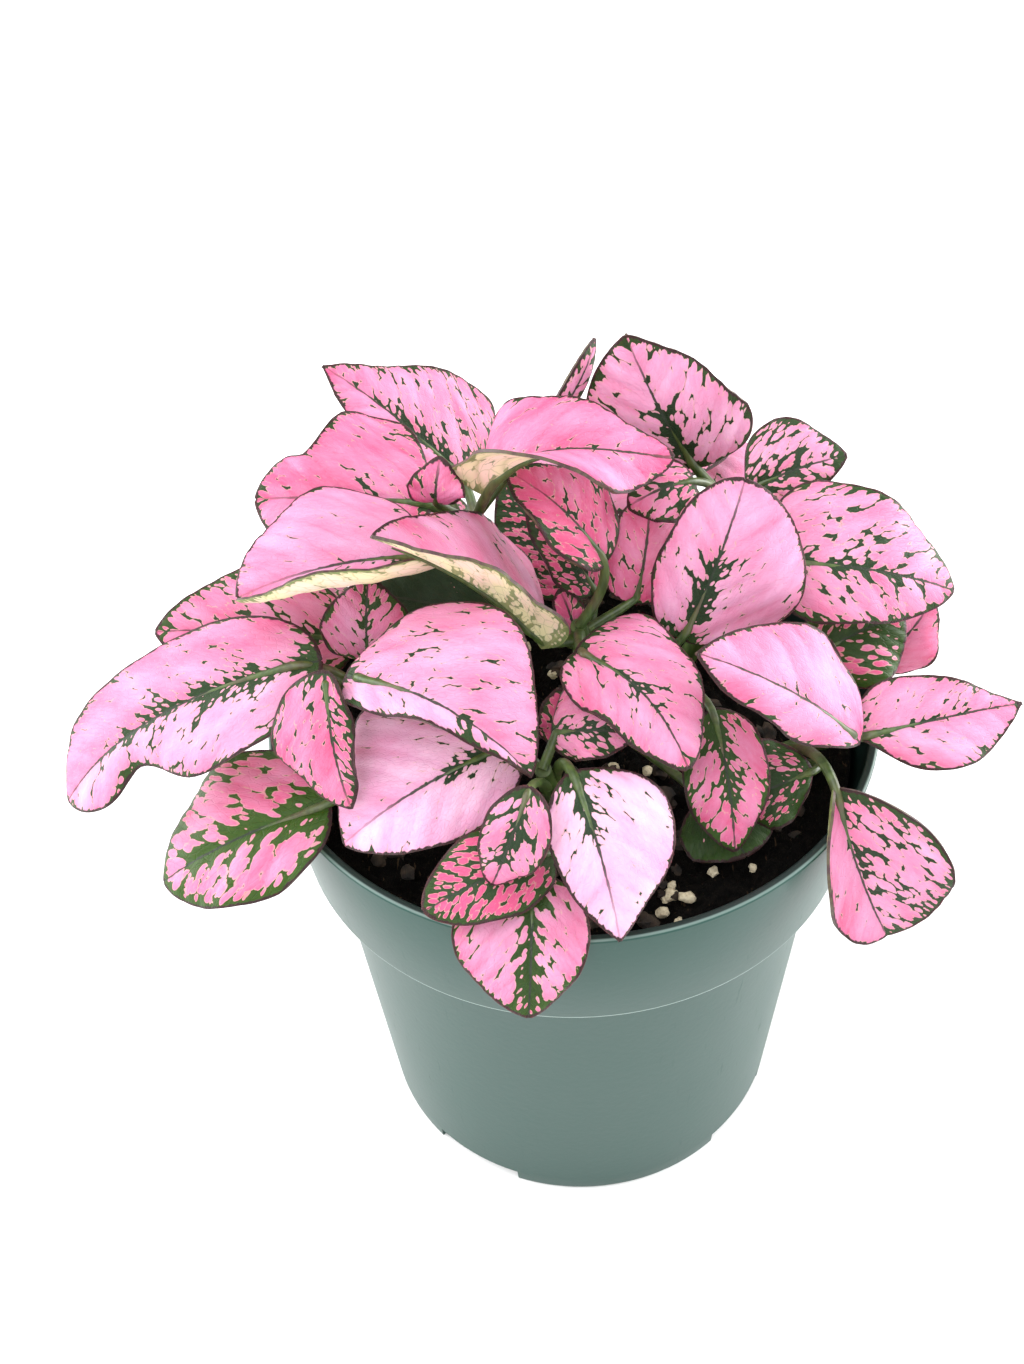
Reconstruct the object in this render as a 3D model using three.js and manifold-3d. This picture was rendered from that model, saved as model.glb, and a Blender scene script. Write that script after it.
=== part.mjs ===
import * as THREE from "three";
import { mergeVertices } from "three/addons/utils/BufferGeometryUtils.js";
import Module from "manifold-3d";

// Potted polka dot plant. Millimetres, Z up. The pot's axis is the Z axis and its foot stands on Z = 0.
// The bright front of the plant looks toward -Y.

// Pot
const potHeight = 46.7;
const rimRadius = 25.4;
const collarHeight = 11.6;
const collarFootRadius = 23.95;
const wallTopRadius = 22.0;
const footRadius = 19.2;
const wallThickness = 0.8;
const floorThickness = 1.2;
const drainRecess = 1.5;
const footWidth = 1.4;
const edge = 0.3;
const padRadius = 5.0;
const recessAngles = [-125, -39, 51, 141];
const recessWidth = 8.8;
const recessDepth = 3.0;
const drainHoleRadius = 2.2;
const drainHoleDistance = 14.0;
const collarFoot = potHeight - collarHeight;
const floorTop = drainRecess + floorThickness;

// Soil and stems
const soilTop = 42.8;
const gap = 0.3;
const stemRadius = 0.9;
const stemSides = 6;
const petioleRadius = 0.5;
const petioleSides = 5;

// Leaves
const bladeThickness = 0.6;
const cellsAlong = 7;
const cellsAcross = 4;

const pink = 0xf08fc2;
const deepPink = 0xd9639f;
const green = 0x5f8f3f;
const potColour = 0x84968f;
const soilColour = 0x1d1a16;

// Each stem rises from the soil to its growing point.
const stems = {
  middle: { name: "stem_middle", points: [[1, 0, 40], [1, -2, 50], [0.5, -4.5, 58.5]] },
  front: { name: "stem_front", points: [[-1, -9, 40], [-2, -12, 47], [-3, -15.5, 54.5]] },
  left: { name: "stem_left", points: [[-8, -3, 40], [-13, -6, 49], [-16.5, -9, 58.5]] },
  right: { name: "stem_right", points: [[10, -4, 40], [16, -6, 44.5], [21, -8, 48.5]] },
  backLeft: { name: "stem_back_left", points: [[-4, 6, 40], [-6, 5, 54], [-7.5, 2.5, 64]] },
  backRight: { name: "stem_back_right", points: [[8, 6, 40], [13, 5, 52], [14.5, 4, 61]] },
  back: { name: "stem_back", points: [[1, 12, 40], [1, 13, 48], [0, 14, 56]] },
};

// One row for each leaf: base and tip of the blade, the way its upper face looks, its full width,
// and how it bends.
const leaves = [
  { name: "leaf_01_top_left", stem: "backLeft", at: 0.82, base: [-7.7, 9.1, 62.9], tip: [-18.3, 13.6, 71.5],
    face: [0.3, -0.45, 0.85], width: 12.5, arch: 1, skew: 0.3, peak: [0.28, 0.2], blunt: 1 },
  { name: "leaf_02_left_wavy", stem: "backLeft", at: 0.76, base: [-10.3, 2.6, 65.5], tip: [-23.4, 2.6, 66.9],
    face: [0, -0.5, 0.8], width: 14.2, arch: 1.0, wave: 1.2, waves: 1.6, skew: 0.1, peak: 0.38,
    blunt: 0.6, dentR: [-0.42, 0.72] },
  { name: "leaf_03_left_big", stem: "backLeft", at: 0.7, base: [-9.9, -3.9, 65.5], tip: [-24.1, -7.4, 65.6],
    face: [-0.1, -0.3, 0.95], width: 13, arch: 1.6, foldL: -10, foldR: 10, curlL: 115, skew: 0.15,
    blunt: 0.6 },
  { name: "leaf_04_top_middle", stem: "backLeft", at: 0.86, base: [-5.9, -1.7, 69.1], tip: [7.6, -3, 72.3],
    face: [0.0, -0.4, 0.92], width: 11.2, arch: 4, foldR: [115, -45], curlR: 10, late: -0.4,
    skew: -0.05, peak: [0.14, 0.2], blunt: 0.6, dentR: [-0.45, 0.12] },
  { name: "leaf_05_middle_cupped", stem: "middle", at: 0.9, base: [-2.2, -6, 57.9], tip: [-13.8, -9, 71.6],
    face: [-0.2, -0.2, 1], width: 12, arch: 1.5, foldL: [65, 55], curlL: 0, foldR: 15,
    peak: [0.4, 0.22], skew: 0.32 },
  { name: "leaf_06_middle_upright", stem: "middle", at: 0.7, base: [8.2, -6, 57.7], tip: [12.9, -2, 69.4],
    face: [0.1, -0.8, 0.6], width: 11.5, arch: 1.5, skew: 0.25, peak: [0.48, 0.45], blunt: 0.5 },
  { name: "leaf_07_right_middle", stem: "right", at: 0.86, base: [20.9, -13, 52.6], tip: [8.0, -14, 63.6],
    face: [0.3, -0.4, 0.9], width: 8.6, arch: 1.5, curlL: -60, foldR: 20, skew: 0.28, peak: [0.5, 0.42],
    lead: 0.05, blunt: 0.85 },
  { name: "leaf_08_top_right", stem: "backRight", at: 1, base: [10.3, 4.2, 66.2], tip: [4.8, 4.2, 78.2],
    face: [-0.45, -0.8, 0.6], width: 11.7, arch: 1.0, skew: 0.01, peak: [0.5, 0.3], blunt: 0.8 },
  { name: "leaf_09_right_back_small", stem: "backRight", at: 0.95, base: [14.9, 6.5, 62], tip: [22.4, 6, 65.2],
    face: [0.1, -0.6, 0.8], width: 7.2, skew: -0.3 },
  { name: "leaf_10_right_spotted", stem: "backRight", at: 0.85, base: [14.8, -2.5, 62.1], tip: [29.7, -2.5, 58],
    face: [0.1, -0.5, 0.85], width: 12, skew: -0.25, foldR: -10, peak: 0.36, blunt: 0.6 },
  { name: "leaf_11_right_shaded", stem: "right", at: 0.7, base: [18.6, -3.5, 52.4], tip: [26.4, -1.5, 55.0],
    face: [0.1, -0.5, 0.85], width: 9, peak: 0.5, old: true },
  { name: "leaf_12_right_behind", stem: "right", at: 0.6, base: [24.6, -1.6, 49.8], tip: [29.3, 0.6, 54.6],
    face: [0.2, -0.7, 0.7], width: 6.4 },
  { name: "leaf_13_right_pointed", stem: "right", at: 1, base: [21.3, -11, 51], tip: [34.3, -9, 51.7],
    face: [0.1, -0.5, 0.85], width: 8.2, arch: 1, peak: [0.3, 0.5], blunt: 1.1 },
  { name: "leaf_14_right_hanging", stem: "right", at: 0.6, base: [18.8, -15.4, 50.4], tip: [23.4, -19.3, 37.2],
    face: [0.0, -0.85, 0.5], width: 10.6, arch: 0.8, skew: -0.27, foldR: 10, peak: [0.57, 0.55],
    blunt: 0.5, lead: 0.5, curlR: [100, 0], sway: 0.5, foldL: 16, curlL: 0, old: true },
  { name: "leaf_15_right_dark", stem: "right", at: 0.3, base: [18.0, -11.7, 48.4], tip: [12.0, -13.0, 46.9],
    face: [0.1, -0.6, 0.8], width: 7, skew: 0.1, peak: [0.62, 0.5], blunt: 0.6, arch: 0.8, old: true },
  { name: "leaf_16_front_right_low", stem: "middle", at: 0.47, base: [10.2, -9.5, 53.7], tip: [11.1, -17.7, 46.6],
    face: [0.1, -0.8, 0.5], width: 6.9, peak: [0.4, 0.5], skew: 0 },
  { name: "leaf_17_low_green", stem: "middle", at: 0.3, base: [9.8, -11.1, 45.2], tip: [12.2, -16.6, 44.6],
    face: [0.1, -0.3, 0.95], width: 8, arch: 0.5, blunt: 0.5, peak: 0.55, old: true },
  { name: "leaf_18_middle_front", stem: "middle", at: 0.95, base: [-0.2, -9.5, 60.4], tip: [7.2, -18, 56.2],
    face: [0.3, -0.4, 0.85], width: 10.2, arch: 2, sway: -0.5, skew: -0.22, blunt: 0.6, lead: 0.1,
    peak: [0.2, 0.36] },
  { name: "leaf_19_centre_small", stem: "middle", at: 0.68, base: [0.4, -3.5, 56.2], tip: [-0.8, -2, 60.2],
    face: [0.2, -0.8, 0.6], width: 2.8, arch: 0.5 },
  { name: "leaf_20_middle_folded", stem: "middle", at: 1, base: [2.6, -4, 64], tip: [-4.3, 0, 69.9],
    face: [0.3, -0.5, 0.8], width: 7.5, foldL: 20, curlL: -20, skew: 0.2, peak: 0.4 },
  { name: "leaf_21_middle_narrow", stem: "middle", at: 0.93, base: [4.9, -3, 59.0], tip: [6.4, 1.4, 66.4],
    face: [0.1, -0.8, 0.6], width: 6.6, lead: 0.1 },
  { name: "leaf_22_top_small", stem: "backRight", at: 0.76, base: [9.6, 0.2, 67.9], tip: [4.6, -0.7, 66.5],
    face: [0.0, -0.6, 0.8], width: 5.5 },
  { name: "leaf_23_middle_dark", stem: "middle", at: 0.76, base: [2, -1.6, 59.2], tip: [-3, 0, 66.4],
    face: [0.1, -0.6, 0.8], width: 4.5, old: true },
  { name: "leaf_24_left_long", stem: "left", at: 0.9, base: [-18.7, -9, 60.6], tip: [-40.8, -8, 46.3],
    face: [-0.1, -0.5, 0.85], width: 11.5, arch: 3, sway: 1.2, wave: 0.8, waves: 1.2, blunt: 0.58,
    peak: 0.42, dentL: [-0.55, 0.66] },
  { name: "leaf_25_left_spotted", stem: "left", at: 0.78, base: [-17.0, -2, 56], tip: [-32.2, -2, 58.3],
    face: [-0.1, -0.5, 0.85], width: 10.5, skew: 0.1 },
  { name: "leaf_26_left_inner", stem: "left", at: 0.85, base: [-15.6, -6, 57.6], tip: [-15.0, -4, 64.1],
    face: [0.0, -0.8, 0.6], width: 7.2 },
  { name: "leaf_28_front_left_big", stem: "left", at: 1, base: [-16.8, -11.6, 61.3], tip: [-3.9, -18.8, 57.3],
    face: [0.1, -0.4, 0.9], width: 10.8, arch: 4, foldR: [-20, 30], late: 0.1, skew: -0.6,
    peak: [0.46, 0.15], lead: 0, foldL: 14 },
  { name: "leaf_29_left_drooping", stem: "left", at: 0.86, base: [-18, -12, 62.3], tip: [-17.0, -17, 53.2],
    face: [-0.3, -0.8, 0.5], width: 6.6, skew: 0.5, arch: 1, lead: 0 },
  { name: "leaf_30_front_left_low", stem: "front", at: 0.9, base: [-5.0, -14, 55.9], tip: [-18.0, -17, 49.3],
    face: [-0.1, -0.5, 0.85], width: 12.6, arch: 2.5, skew: 0.25, peak: [0.36, 0.5] },
  { name: "leaf_31_left_old", stem: "left", at: 0.6, base: [-19.3, -13, 49.4], tip: [-33.5, -13, 41.5],
    face: [-0.2, -0.4, 0.9], width: 12.5, arch: 1.5, skew: 0.15, blunt: 0.65, old: true },
  { name: "leaf_32_front_small", stem: "front", at: 0.7, base: [-4.1, -21.3, 59.0], tip: [-7.1, -24.0, 52.2],
    face: [0, -0.8, 0.6], width: 4.9, skew: -0.1, lead: 0.15 },
  { name: "leaf_33_front_dark", stem: "front", at: 0.4, base: [-2.8, -20.4, 51.0], tip: [-12.0, -24.6, 50.4],
    face: [0, -0.5, 0.85], width: 6.8, blunt: 0.6, old: true, skew: 0.05 },
  { name: "leaf_34_over_rim", stem: "front", at: 0.5, base: [-4.2, -21.4, 50.1], tip: [-5.1, -29, 43.2],
    face: [0, -0.8, 0.6], width: 10, arch: 1.5, skew: 0.15, old: true },
  { name: "leaf_35_front_bright", stem: "front", at: 0.62, base: [-1.0, -18, 56.7], tip: [1.6, -26.5, 48.1],
    face: [0.2, -0.7, 0.7], width: 9.6, arch: 1.5, skew: -0.3, peak: [0.36, 0.4], blunt: 0.95 },
  { name: "leaf_36_front_bud", stem: "front", at: 1, base: [-2.2, -13.2, 55.8], tip: [4.0, -14.8, 56.8],
    face: [0.1, -0.6, 0.8], width: 6.4, skew: -0.3, lead: 0 },
  { name: "leaf_37_middle_shaded", stem: "middle", at: 0.4, base: [-0.3, -11, 52.5], tip: [-1.5, -10, 57.3],
    face: [0, -0.8, 0.6], width: 5, arch: 0.5 },
  { name: "leaf_39_right_folded", stem: "right", at: 0.92, base: [19.4, -8.6, 53.2], tip: [19.5, -6, 56.8],
    face: [-0.5, -0.6, 0.6], width: 3.5, foldL: 30, foldR: 30, old: true },
  { name: "leaf_40_top_sliver", stem: "backLeft", at: 0.94, base: [-0.8, 3, 72], tip: [2.7, 6, 77.0],
    face: [0.8, -0.3, 0.4], width: 2.6, arch: 0.5, wave: 0 },
  { name: "leaf_41_left_small", stem: "backLeft", at: 1, base: [-9.6, -1.4, 68.6], tip: [-9.0, -1, 72.3],
    face: [0, -0.8, 0.6], width: 4.4 },
  { name: "leaf_42_back_shaded", stem: "back", at: 0.8, base: [2.1, 6, 53.6], tip: [-4.8, 9, 62.3],
    face: [0, -0.6, 0.8], width: 9, arch: 1, old: true },
  { name: "leaf_43_left_inner_low", stem: "middle", at: 0.8, base: [-5.2, -2.2, 57.6], tip: [-17.0, 0.5, 59.2],
    face: [-0.1, -0.6, 0.8], width: 8, arch: 1, old: true },
  { name: "leaf_51_back_right", stem: "backRight", at: 0.68, base: [17, 7, 56], tip: [31, 15.5, 49.6],
    face: [0.2, 0.1, 1], width: 11 },
  { name: "leaf_52_back_right_inner", stem: "backRight", at: 0.75, base: [15, 9, 59], tip: [21.5, 25, 53],
    face: [0.1, 0.2, 1], width: 12 },
  { name: "leaf_53_back_middle", stem: "backRight", at: 0.8, base: [10, 9, 62], tip: [8, 25, 57],
    face: [0, 0.2, 1], width: 11.5 },
  { name: "leaf_54_back", stem: "back", at: 1, base: [-1, 16, 57], tip: [-4.5, 29.5, 51.5],
    face: [0, 0.3, 1], width: 11.5 },
  { name: "leaf_55_back_left_inner", stem: "backLeft", at: 0.64, base: [-9, 8, 62], tip: [-15, 23, 56],
    face: [-0.1, 0.2, 1], width: 11.5 },
  { name: "leaf_56_back_left", stem: "backLeft", at: 0.58, base: [-12, 6, 58], tip: [-26.6, 13.4, 54],
    face: [-0.1, 0.1, 1], width: 11.5 },
  { name: "leaf_57_back_right_low", stem: "back", at: 0.7, base: [13, 16, 50], tip: [24, 25, 42],
    face: [0.3, 0.4, 0.9], width: 12, arch: 2.5 },
  { name: "leaf_58_back_low", stem: "back", at: 0.85, base: [3, 19, 51], tip: [6, 32, 44],
    face: [0.1, 0.5, 0.8], width: 12, arch: 2.5 },
  { name: "leaf_59_back_left_low", stem: "back", at: 0.6, base: [-10, 18, 50], tip: [-18, 29, 43],
    face: [-0.2, 0.4, 0.9], width: 12, arch: 2.5 },
  { name: "leaf_60_left_low", stem: "backLeft", at: 0.48, base: [-19, 9, 50], tip: [-31, 14, 44],
    face: [-0.3, 0.3, 0.9], width: 12, arch: 2 },
];

const habit = {
  arch: 1.5, late: 0, sway: 0, peak: 0.42, blunt: 0.75, skew: 0,
  foldL: 8, foldR: 8, curlL: -30, curlR: -30, dentL: [0, 0.5], dentR: [0, 0.5],
  wave: 0.4, waves: 2, phase: 0, lead: 0.4,
};

const wasm = await Module();
wasm.setup();

const vector = (p) => new THREE.Vector3(p[0], p[1], p[2]);
const pair = (value) => (Array.isArray(value) ? value : [value, value]);
const degrees = Math.PI / 180;

// A closed three.js geometry as a solid that can be joined and cut
function toSolid(geometry) {
  const bare = geometry.clone();
  bare.deleteAttribute("normal");
  bare.deleteAttribute("uv");
  const merged = mergeVertices(bare, 1e-4);
  const mesh = new wasm.Mesh({
    numProp: 3,
    vertProperties: new Float32Array(merged.attributes.position.array),
    triVerts: new Uint32Array(merged.index.array),
  });
  return new wasm.Manifold(mesh);
}

// A solid back as a three.js geometry
function toGeometry(solid) {
  const mesh = solid.getMesh();
  const geometry = new THREE.BufferGeometry();
  geometry.setAttribute("position", new THREE.BufferAttribute(new Float32Array(mesh.vertProperties), 3));
  geometry.setIndex(new THREE.BufferAttribute(new Uint32Array(mesh.triVerts), 1));
  geometry.computeVertexNormals();
  return geometry;
}

// A round bar along a curve
function bar(curve, radius, sides, steps) {
  const section = new THREE.Shape();
  for (let i = 0; i < sides; i++) {
    const angle = (2 * Math.PI * i) / sides;
    const x = radius * Math.cos(angle);
    const y = radius * Math.sin(angle);
    if (i === 0) section.moveTo(x, y);
    else section.lineTo(x, y);
  }
  section.closePath();
  return new THREE.ExtrudeGeometry(section, { steps, bevelEnabled: false, extrudePath: curve });
}

// Midrib of a leaf: a chord from base to tip that arches toward the upper face and sways to one side
function leafFrame(leaf) {
  const base = vector(leaf.base);
  const chord = vector(leaf.tip).sub(base);
  const along = chord.clone().normalize();
  const face = vector(leaf.face);
  face.addScaledVector(along, -face.dot(along)).normalize();
  const side = along.clone().cross(face);
  const midrib = (u) => {
    const bow = 4 * u * (1 - u);
    return base.clone()
      .addScaledVector(chord, u)
      .addScaledVector(face, leaf.arch * bow * (1 + leaf.late * (2 * u - 1)))
      .addScaledVector(side, leaf.sway * bow);
  };
  return { face, midrib };
}

// Half width of a leaf at u along the midrib, on the left (v < 0) or right side
function halfWidth(leaf, u, right) {
  const peak = pair(leaf.peak)[right ? 1 : 0];
  const dent = right ? leaf.dentR : leaf.dentL;
  const tipPower = leaf.blunt;
  const basePower = (tipPower * peak) / (1 - peak);
  const shape = (Math.max(u, 1e-9) / peak) ** basePower * (Math.max(1 - u, 1e-9) / (1 - peak)) ** tipPower;
  const bite = 1 + dent[0] * Math.exp(-(((u - dent[1]) / 0.13) ** 2));
  const lean = right ? 1 + leaf.skew : 1 - leaf.skew;
  return Math.max((leaf.width / 2) * shape * bite * lean, 0.3);
}

// Point of a leaf's middle surface: u runs from base to tip, v from -1 on the left edge to 1 on the right edge
function leafPoint(leaf, frame, u, v) {
  const step = 1e-3;
  const rib = frame.midrib(Math.min(u + step, 1)).sub(frame.midrib(Math.max(u - step, 0))).normalize();
  const up = frame.face.clone().addScaledVector(rib, -frame.face.dot(rib)).normalize();
  const across = rib.clone().cross(up);
  const right = v >= 0;
  const half = halfWidth(leaf, u, right);
  const folds = pair(right ? leaf.foldR : leaf.foldL);
  const curls = pair(right ? leaf.curlR : leaf.curlL);
  const fold = (folds[0] + (folds[1] - folds[0]) * u) * degrees;
  const curl = (curls[0] + (curls[1] - curls[0]) * u) * degrees;
  const q = Math.abs(v);
  const flat = Math.abs(curl) < 1e-3;
  const out = flat ? q * Math.cos(fold) : (Math.sin(fold + curl * q) - Math.sin(fold)) / curl;
  const rise = flat ? q * Math.sin(fold) : (Math.cos(fold) - Math.cos(fold + curl * q)) / curl;
  const beat = 2 * Math.PI * (leaf.waves * u + leaf.phase + (right ? 0.25 : 0));
  const ripple = leaf.wave * q * q * Math.sin(beat) * Math.min(1, 6 * u * (1 - u));
  return frame.midrib(u)
    .addScaledVector(across, Math.sign(v) * out * half)
    .addScaledVector(up, rise * half + ripple);
}

// A thin blade: a plane's grid bent to the leaf, its two faces split into triangles alike,
// closed along the edge
function blade(leaf) {
  const frame = leafFrame(leaf);
  const grid = new THREE.PlaneGeometry(2, 1, cellsAcross, cellsAlong);
  const columns = cellsAcross + 1;
  const rows = cellsAlong + 1;
  const middle = [];
  for (let i = 0; i < rows; i++) {
    for (let j = 0; j < columns; j++) {
      const v = grid.attributes.position.getX(i * columns + j);
      const u = grid.attributes.position.getY(i * columns + j) + 0.5;
      middle.push(leafPoint(leaf, frame, u, v));
    }
  }
  const upper = [];
  const lower = [];
  for (let i = 0; i < rows; i++) {
    for (let j = 0; j < columns; j++) {
      const here = middle[i * columns + j];
      const left = middle[i * columns + Math.max(j - 1, 0)];
      const right = middle[i * columns + Math.min(j + 1, columns - 1)];
      const ahead = middle[Math.max(i - 1, 0) * columns + j];
      const behind = middle[Math.min(i + 1, rows - 1) * columns + j];
      const normal = right.clone().sub(left).cross(ahead.clone().sub(behind)).normalize();
      upper.push(here.clone().addScaledVector(normal, bladeThickness / 2));
      lower.push(here.clone().addScaledVector(normal, -bladeThickness / 2));
    }
  }
  const index = Array.from(grid.index.array);
  const count = rows * columns;
  const triangles = [];
  for (let k = 0; k < index.length; k += 3) {
    triangles.push(index[k], index[k + 1], index[k + 2]);
    triangles.push(index[k] + count, index[k + 2] + count, index[k + 1] + count);
  }
  const edge = [];
  for (let j = 0; j < columns - 1; j++) edge.push(j);
  for (let i = 0; i < rows - 1; i++) edge.push(i * columns + columns - 1);
  for (let j = columns - 1; j > 0; j--) edge.push((rows - 1) * columns + j);
  for (let i = rows - 1; i > 0; i--) edge.push(i * columns);
  edge.forEach((a, k) => {
    const b = edge[(k + 1) % edge.length];
    triangles.push(a, b, b + count, a, b + count, a + count);
  });
  const geometry = new THREE.BufferGeometry();
  geometry.setFromPoints([...upper, ...lower]);
  geometry.setIndex(triangles);
  return geometry;
}

const stemCurve = (stem) => new THREE.CatmullRomCurve3(stem.points.map(vector));

// The leaf stalk leaves its stem and meets the blade along the midrib
function stalk(leaf) {
  const frame = leafFrame(leaf);
  const start = stemCurve(stems[leaf.stem]).getPoint(leaf.at);
  const end = frame.midrib(0.08);
  const heading = frame.midrib(0.12).sub(frame.midrib(0)).normalize();
  const reach = end.distanceTo(start);
  const control = end.clone().addScaledVector(heading, -leaf.lead * reach);
  const curve = new THREE.QuadraticBezierCurve3(start, control, end);
  return bar(curve, petioleRadius, petioleSides, 3);
}

const group = new THREE.Group();

function addMesh(name, geometry, color, roughness) {
  const material = new THREE.MeshStandardMaterial({ color, roughness, metalness: 0 });
  const mesh = new THREE.Mesh(geometry, material);
  mesh.name = name;
  group.add(mesh);
}

// Pot: a thin tapering wall with a deep collar, standing on a ring foot with shallow recesses and a middle pad
function potSolid() {
  const outline = [
    [0, drainRecess], [footRadius - footWidth, drainRecess], [footRadius - footWidth, 0],
    [footRadius - edge, 0], [footRadius, edge],
    [wallTopRadius, collarFoot - edge],
    [collarFootRadius - edge, collarFoot], [collarFootRadius, collarFoot + edge],
    [rimRadius, potHeight - edge], [rimRadius - edge, potHeight],
    [rimRadius - wallThickness, potHeight],
    [collarFootRadius - wallThickness, collarFoot + wallThickness + edge],
    [wallTopRadius - wallThickness, collarFoot + 2 * edge],
    [footRadius - wallThickness, floorTop + 1], [footRadius - wallThickness - 1, floorTop], [0, floorTop],
  ];
  const profile = outline.map(([radius, height]) => new THREE.Vector2(radius, height));
  let pot = toSolid(upright(new THREE.LatheGeometry(profile, 44)));
  const padHeight = drainRecess + floorThickness / 2;
  const pad = new THREE.CylinderGeometry(padRadius, padRadius, padHeight, 24);
  pad.rotateX(Math.PI / 2);
  pad.translate(0, 0, padHeight / 2);
  pot = pot.add(toSolid(pad));
  for (const angle of recessAngles) {
    const recess = new THREE.BoxGeometry(2 * recessDepth, recessWidth, 2 * drainRecess);
    recess.translate(footRadius, 0, 0);
    recess.rotateZ(angle * degrees);
    pot = pot.subtract(toSolid(recess));
    const hole = new THREE.CylinderGeometry(drainHoleRadius, drainHoleRadius, 2 * floorTop, 12);
    hole.rotateX(Math.PI / 2);
    hole.translate(drainHoleDistance, 0, floorTop);
    hole.rotateZ(angle * degrees);
    pot = pot.subtract(toSolid(hole));
  }
  return pot;
}

// Soil: fills the pot up to a slightly uneven top, with a plain hole round each stem
function soilSolid() {
  const skin = wallThickness + gap;
  const outline = [
    [0, floorTop + gap], [footRadius - skin - 1, floorTop + gap], [footRadius - skin, floorTop + 1 + gap],
    [wallTopRadius - skin, collarFoot + 2 * edge + gap],
    [collarFootRadius - skin, collarFoot + wallThickness + edge + 2 * gap],
    [collarFootRadius - skin + 0.6, soilTop - 0.4],
    [19, soilTop], [14, soilTop], [9, soilTop], [4, soilTop], [0, soilTop],
  ];
  const profile = outline.map(([radius, height]) => new THREE.Vector2(radius, height));
  const lathe = new THREE.LatheGeometry(profile, 36);
  const spots = lathe.attributes.position;
  for (let i = 0; i < spots.count; i++) {
    const x = spots.getX(i);
    const y = spots.getZ(i);
    const radius = Math.hypot(x, y);
    if (spots.getY(i) < soilTop - 0.1 || radius > 20) continue;
    const bump = 0.35 * Math.sin(0.55 * x + 1.3) * Math.cos(0.6 * y) + 0.25 * Math.sin(0.9 * x - 0.7 * y);
    spots.setY(i, soilTop + bump);
  }
  let soil = toSolid(upright(lathe));
  for (const stem of Object.values(stems)) {
    soil = soil.subtract(toSolid(bar(stemCurve(stem), stemRadius + gap, stemSides, 4)));
  }
  return soil;
}

// A lathe turns about Y, the pot about Z
function upright(geometry) {
  return geometry.rotateX(Math.PI / 2);
}

addMesh("pot", toGeometry(potSolid()), potColour, 0.45);
addMesh("soil", toGeometry(soilSolid()), soilColour, 0.95);

for (const stem of Object.values(stems)) {
  addMesh(stem.name, bar(stemCurve(stem), stemRadius, stemSides, 4), green, 0.6);
}

for (const row of leaves) {
  const leaf = { ...habit, ...row };
  const stem = bar(stemCurve(stems[leaf.stem]), stemRadius + gap, stemSides, 4);
  const solid = toSolid(blade(leaf)).add(toSolid(stalk(leaf))).subtract(toSolid(stem));
  addMesh(leaf.name, toGeometry(solid), leaf.old ? deepPink : pink, 0.5);
}

export default group;
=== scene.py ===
# %% [markdown]
# # A potted polka dot plant
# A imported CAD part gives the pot, the soil, seven stems and fifty-one leaves as plain solids. This lesson
# dresses each of them with a finer piece that stays where its solid is: a turned pot, crumbly soil with
# perlite on it, and thin leaves with puffed veins, a dark margin and pink polka dots that run into each
# other. Sizes are in millimetres, as on the part's drawing, and Blender works in metres.

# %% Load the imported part
import math
import random
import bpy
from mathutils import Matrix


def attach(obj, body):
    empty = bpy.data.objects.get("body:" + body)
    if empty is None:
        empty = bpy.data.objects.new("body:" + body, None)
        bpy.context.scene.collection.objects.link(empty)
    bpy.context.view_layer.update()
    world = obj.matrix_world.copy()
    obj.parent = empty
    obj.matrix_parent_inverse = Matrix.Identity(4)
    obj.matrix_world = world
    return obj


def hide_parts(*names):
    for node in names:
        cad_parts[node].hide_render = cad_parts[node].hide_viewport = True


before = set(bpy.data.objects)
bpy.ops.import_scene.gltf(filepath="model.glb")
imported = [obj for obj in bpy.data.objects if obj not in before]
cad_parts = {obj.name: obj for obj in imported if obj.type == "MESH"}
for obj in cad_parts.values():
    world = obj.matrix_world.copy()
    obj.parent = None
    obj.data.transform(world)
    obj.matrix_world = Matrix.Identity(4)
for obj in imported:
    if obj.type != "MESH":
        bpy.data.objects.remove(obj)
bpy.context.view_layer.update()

from types import SimpleNamespace

import bpy
import numpy as np
from mathutils import Matrix, Vector, noise

mm = 0.001

# %% [markdown]
# ## Working by hand, in code
# A modelling operator acts on everything that is selected, and the imported solids come in selected. So
# each step starts from an empty selection and takes up one piece. A finished piece has its place in its
# mesh and its object at the origin.

# %% Helpers to pick up a piece and to finish it
def clear_selection():
    """Nothing stays selected."""
    bpy.ops.object.select_all(action="DESELECT")


def pick(piece):
    """Only this piece is selected, and it is the active one."""
    clear_selection()
    piece.select_set(True)
    bpy.context.view_layer.objects.active = piece


def rename(piece, name):
    """The same name for a piece and its mesh."""
    piece.name = name
    piece.data.name = name
    return piece


def name_new(name):
    """Names the piece that an operator has just added and puts its place into its mesh."""
    bpy.ops.object.transform_apply(location=True, rotation=True, scale=True)
    return rename(bpy.context.object, name)


def apply_modifier(piece, kind, **settings):
    """Adds a modifier, sets it up and applies it."""
    pick(piece)
    modifier = piece.modifiers.new(kind.lower(), kind)
    for setting, value in settings.items():
        setattr(modifier, setting, value)
    bpy.ops.object.modifier_apply(modifier=modifier.name)


def copy_of(blank, name):
    """A copy with its own mesh."""
    piece = blank.copy()
    piece.data = blank.data.copy()
    bpy.context.collection.objects.link(piece)
    return rename(piece, name)


def remove(piece):
    """Deletes a blank or a cutter that has done its work."""
    bpy.data.objects.remove(piece, do_unlink=True)


def smooth(piece, degrees):
    """Smooth shading, except over edges sharper than this."""
    pick(piece)
    bpy.ops.object.shade_smooth_by_angle(angle=math.radians(degrees))


def finish_piece(piece, node=None):
    """The piece rides with the plant, and may stand for a CAD node, whose solid is then hidden."""
    if node:
        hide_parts(node)
    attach(piece, "root")
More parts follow.
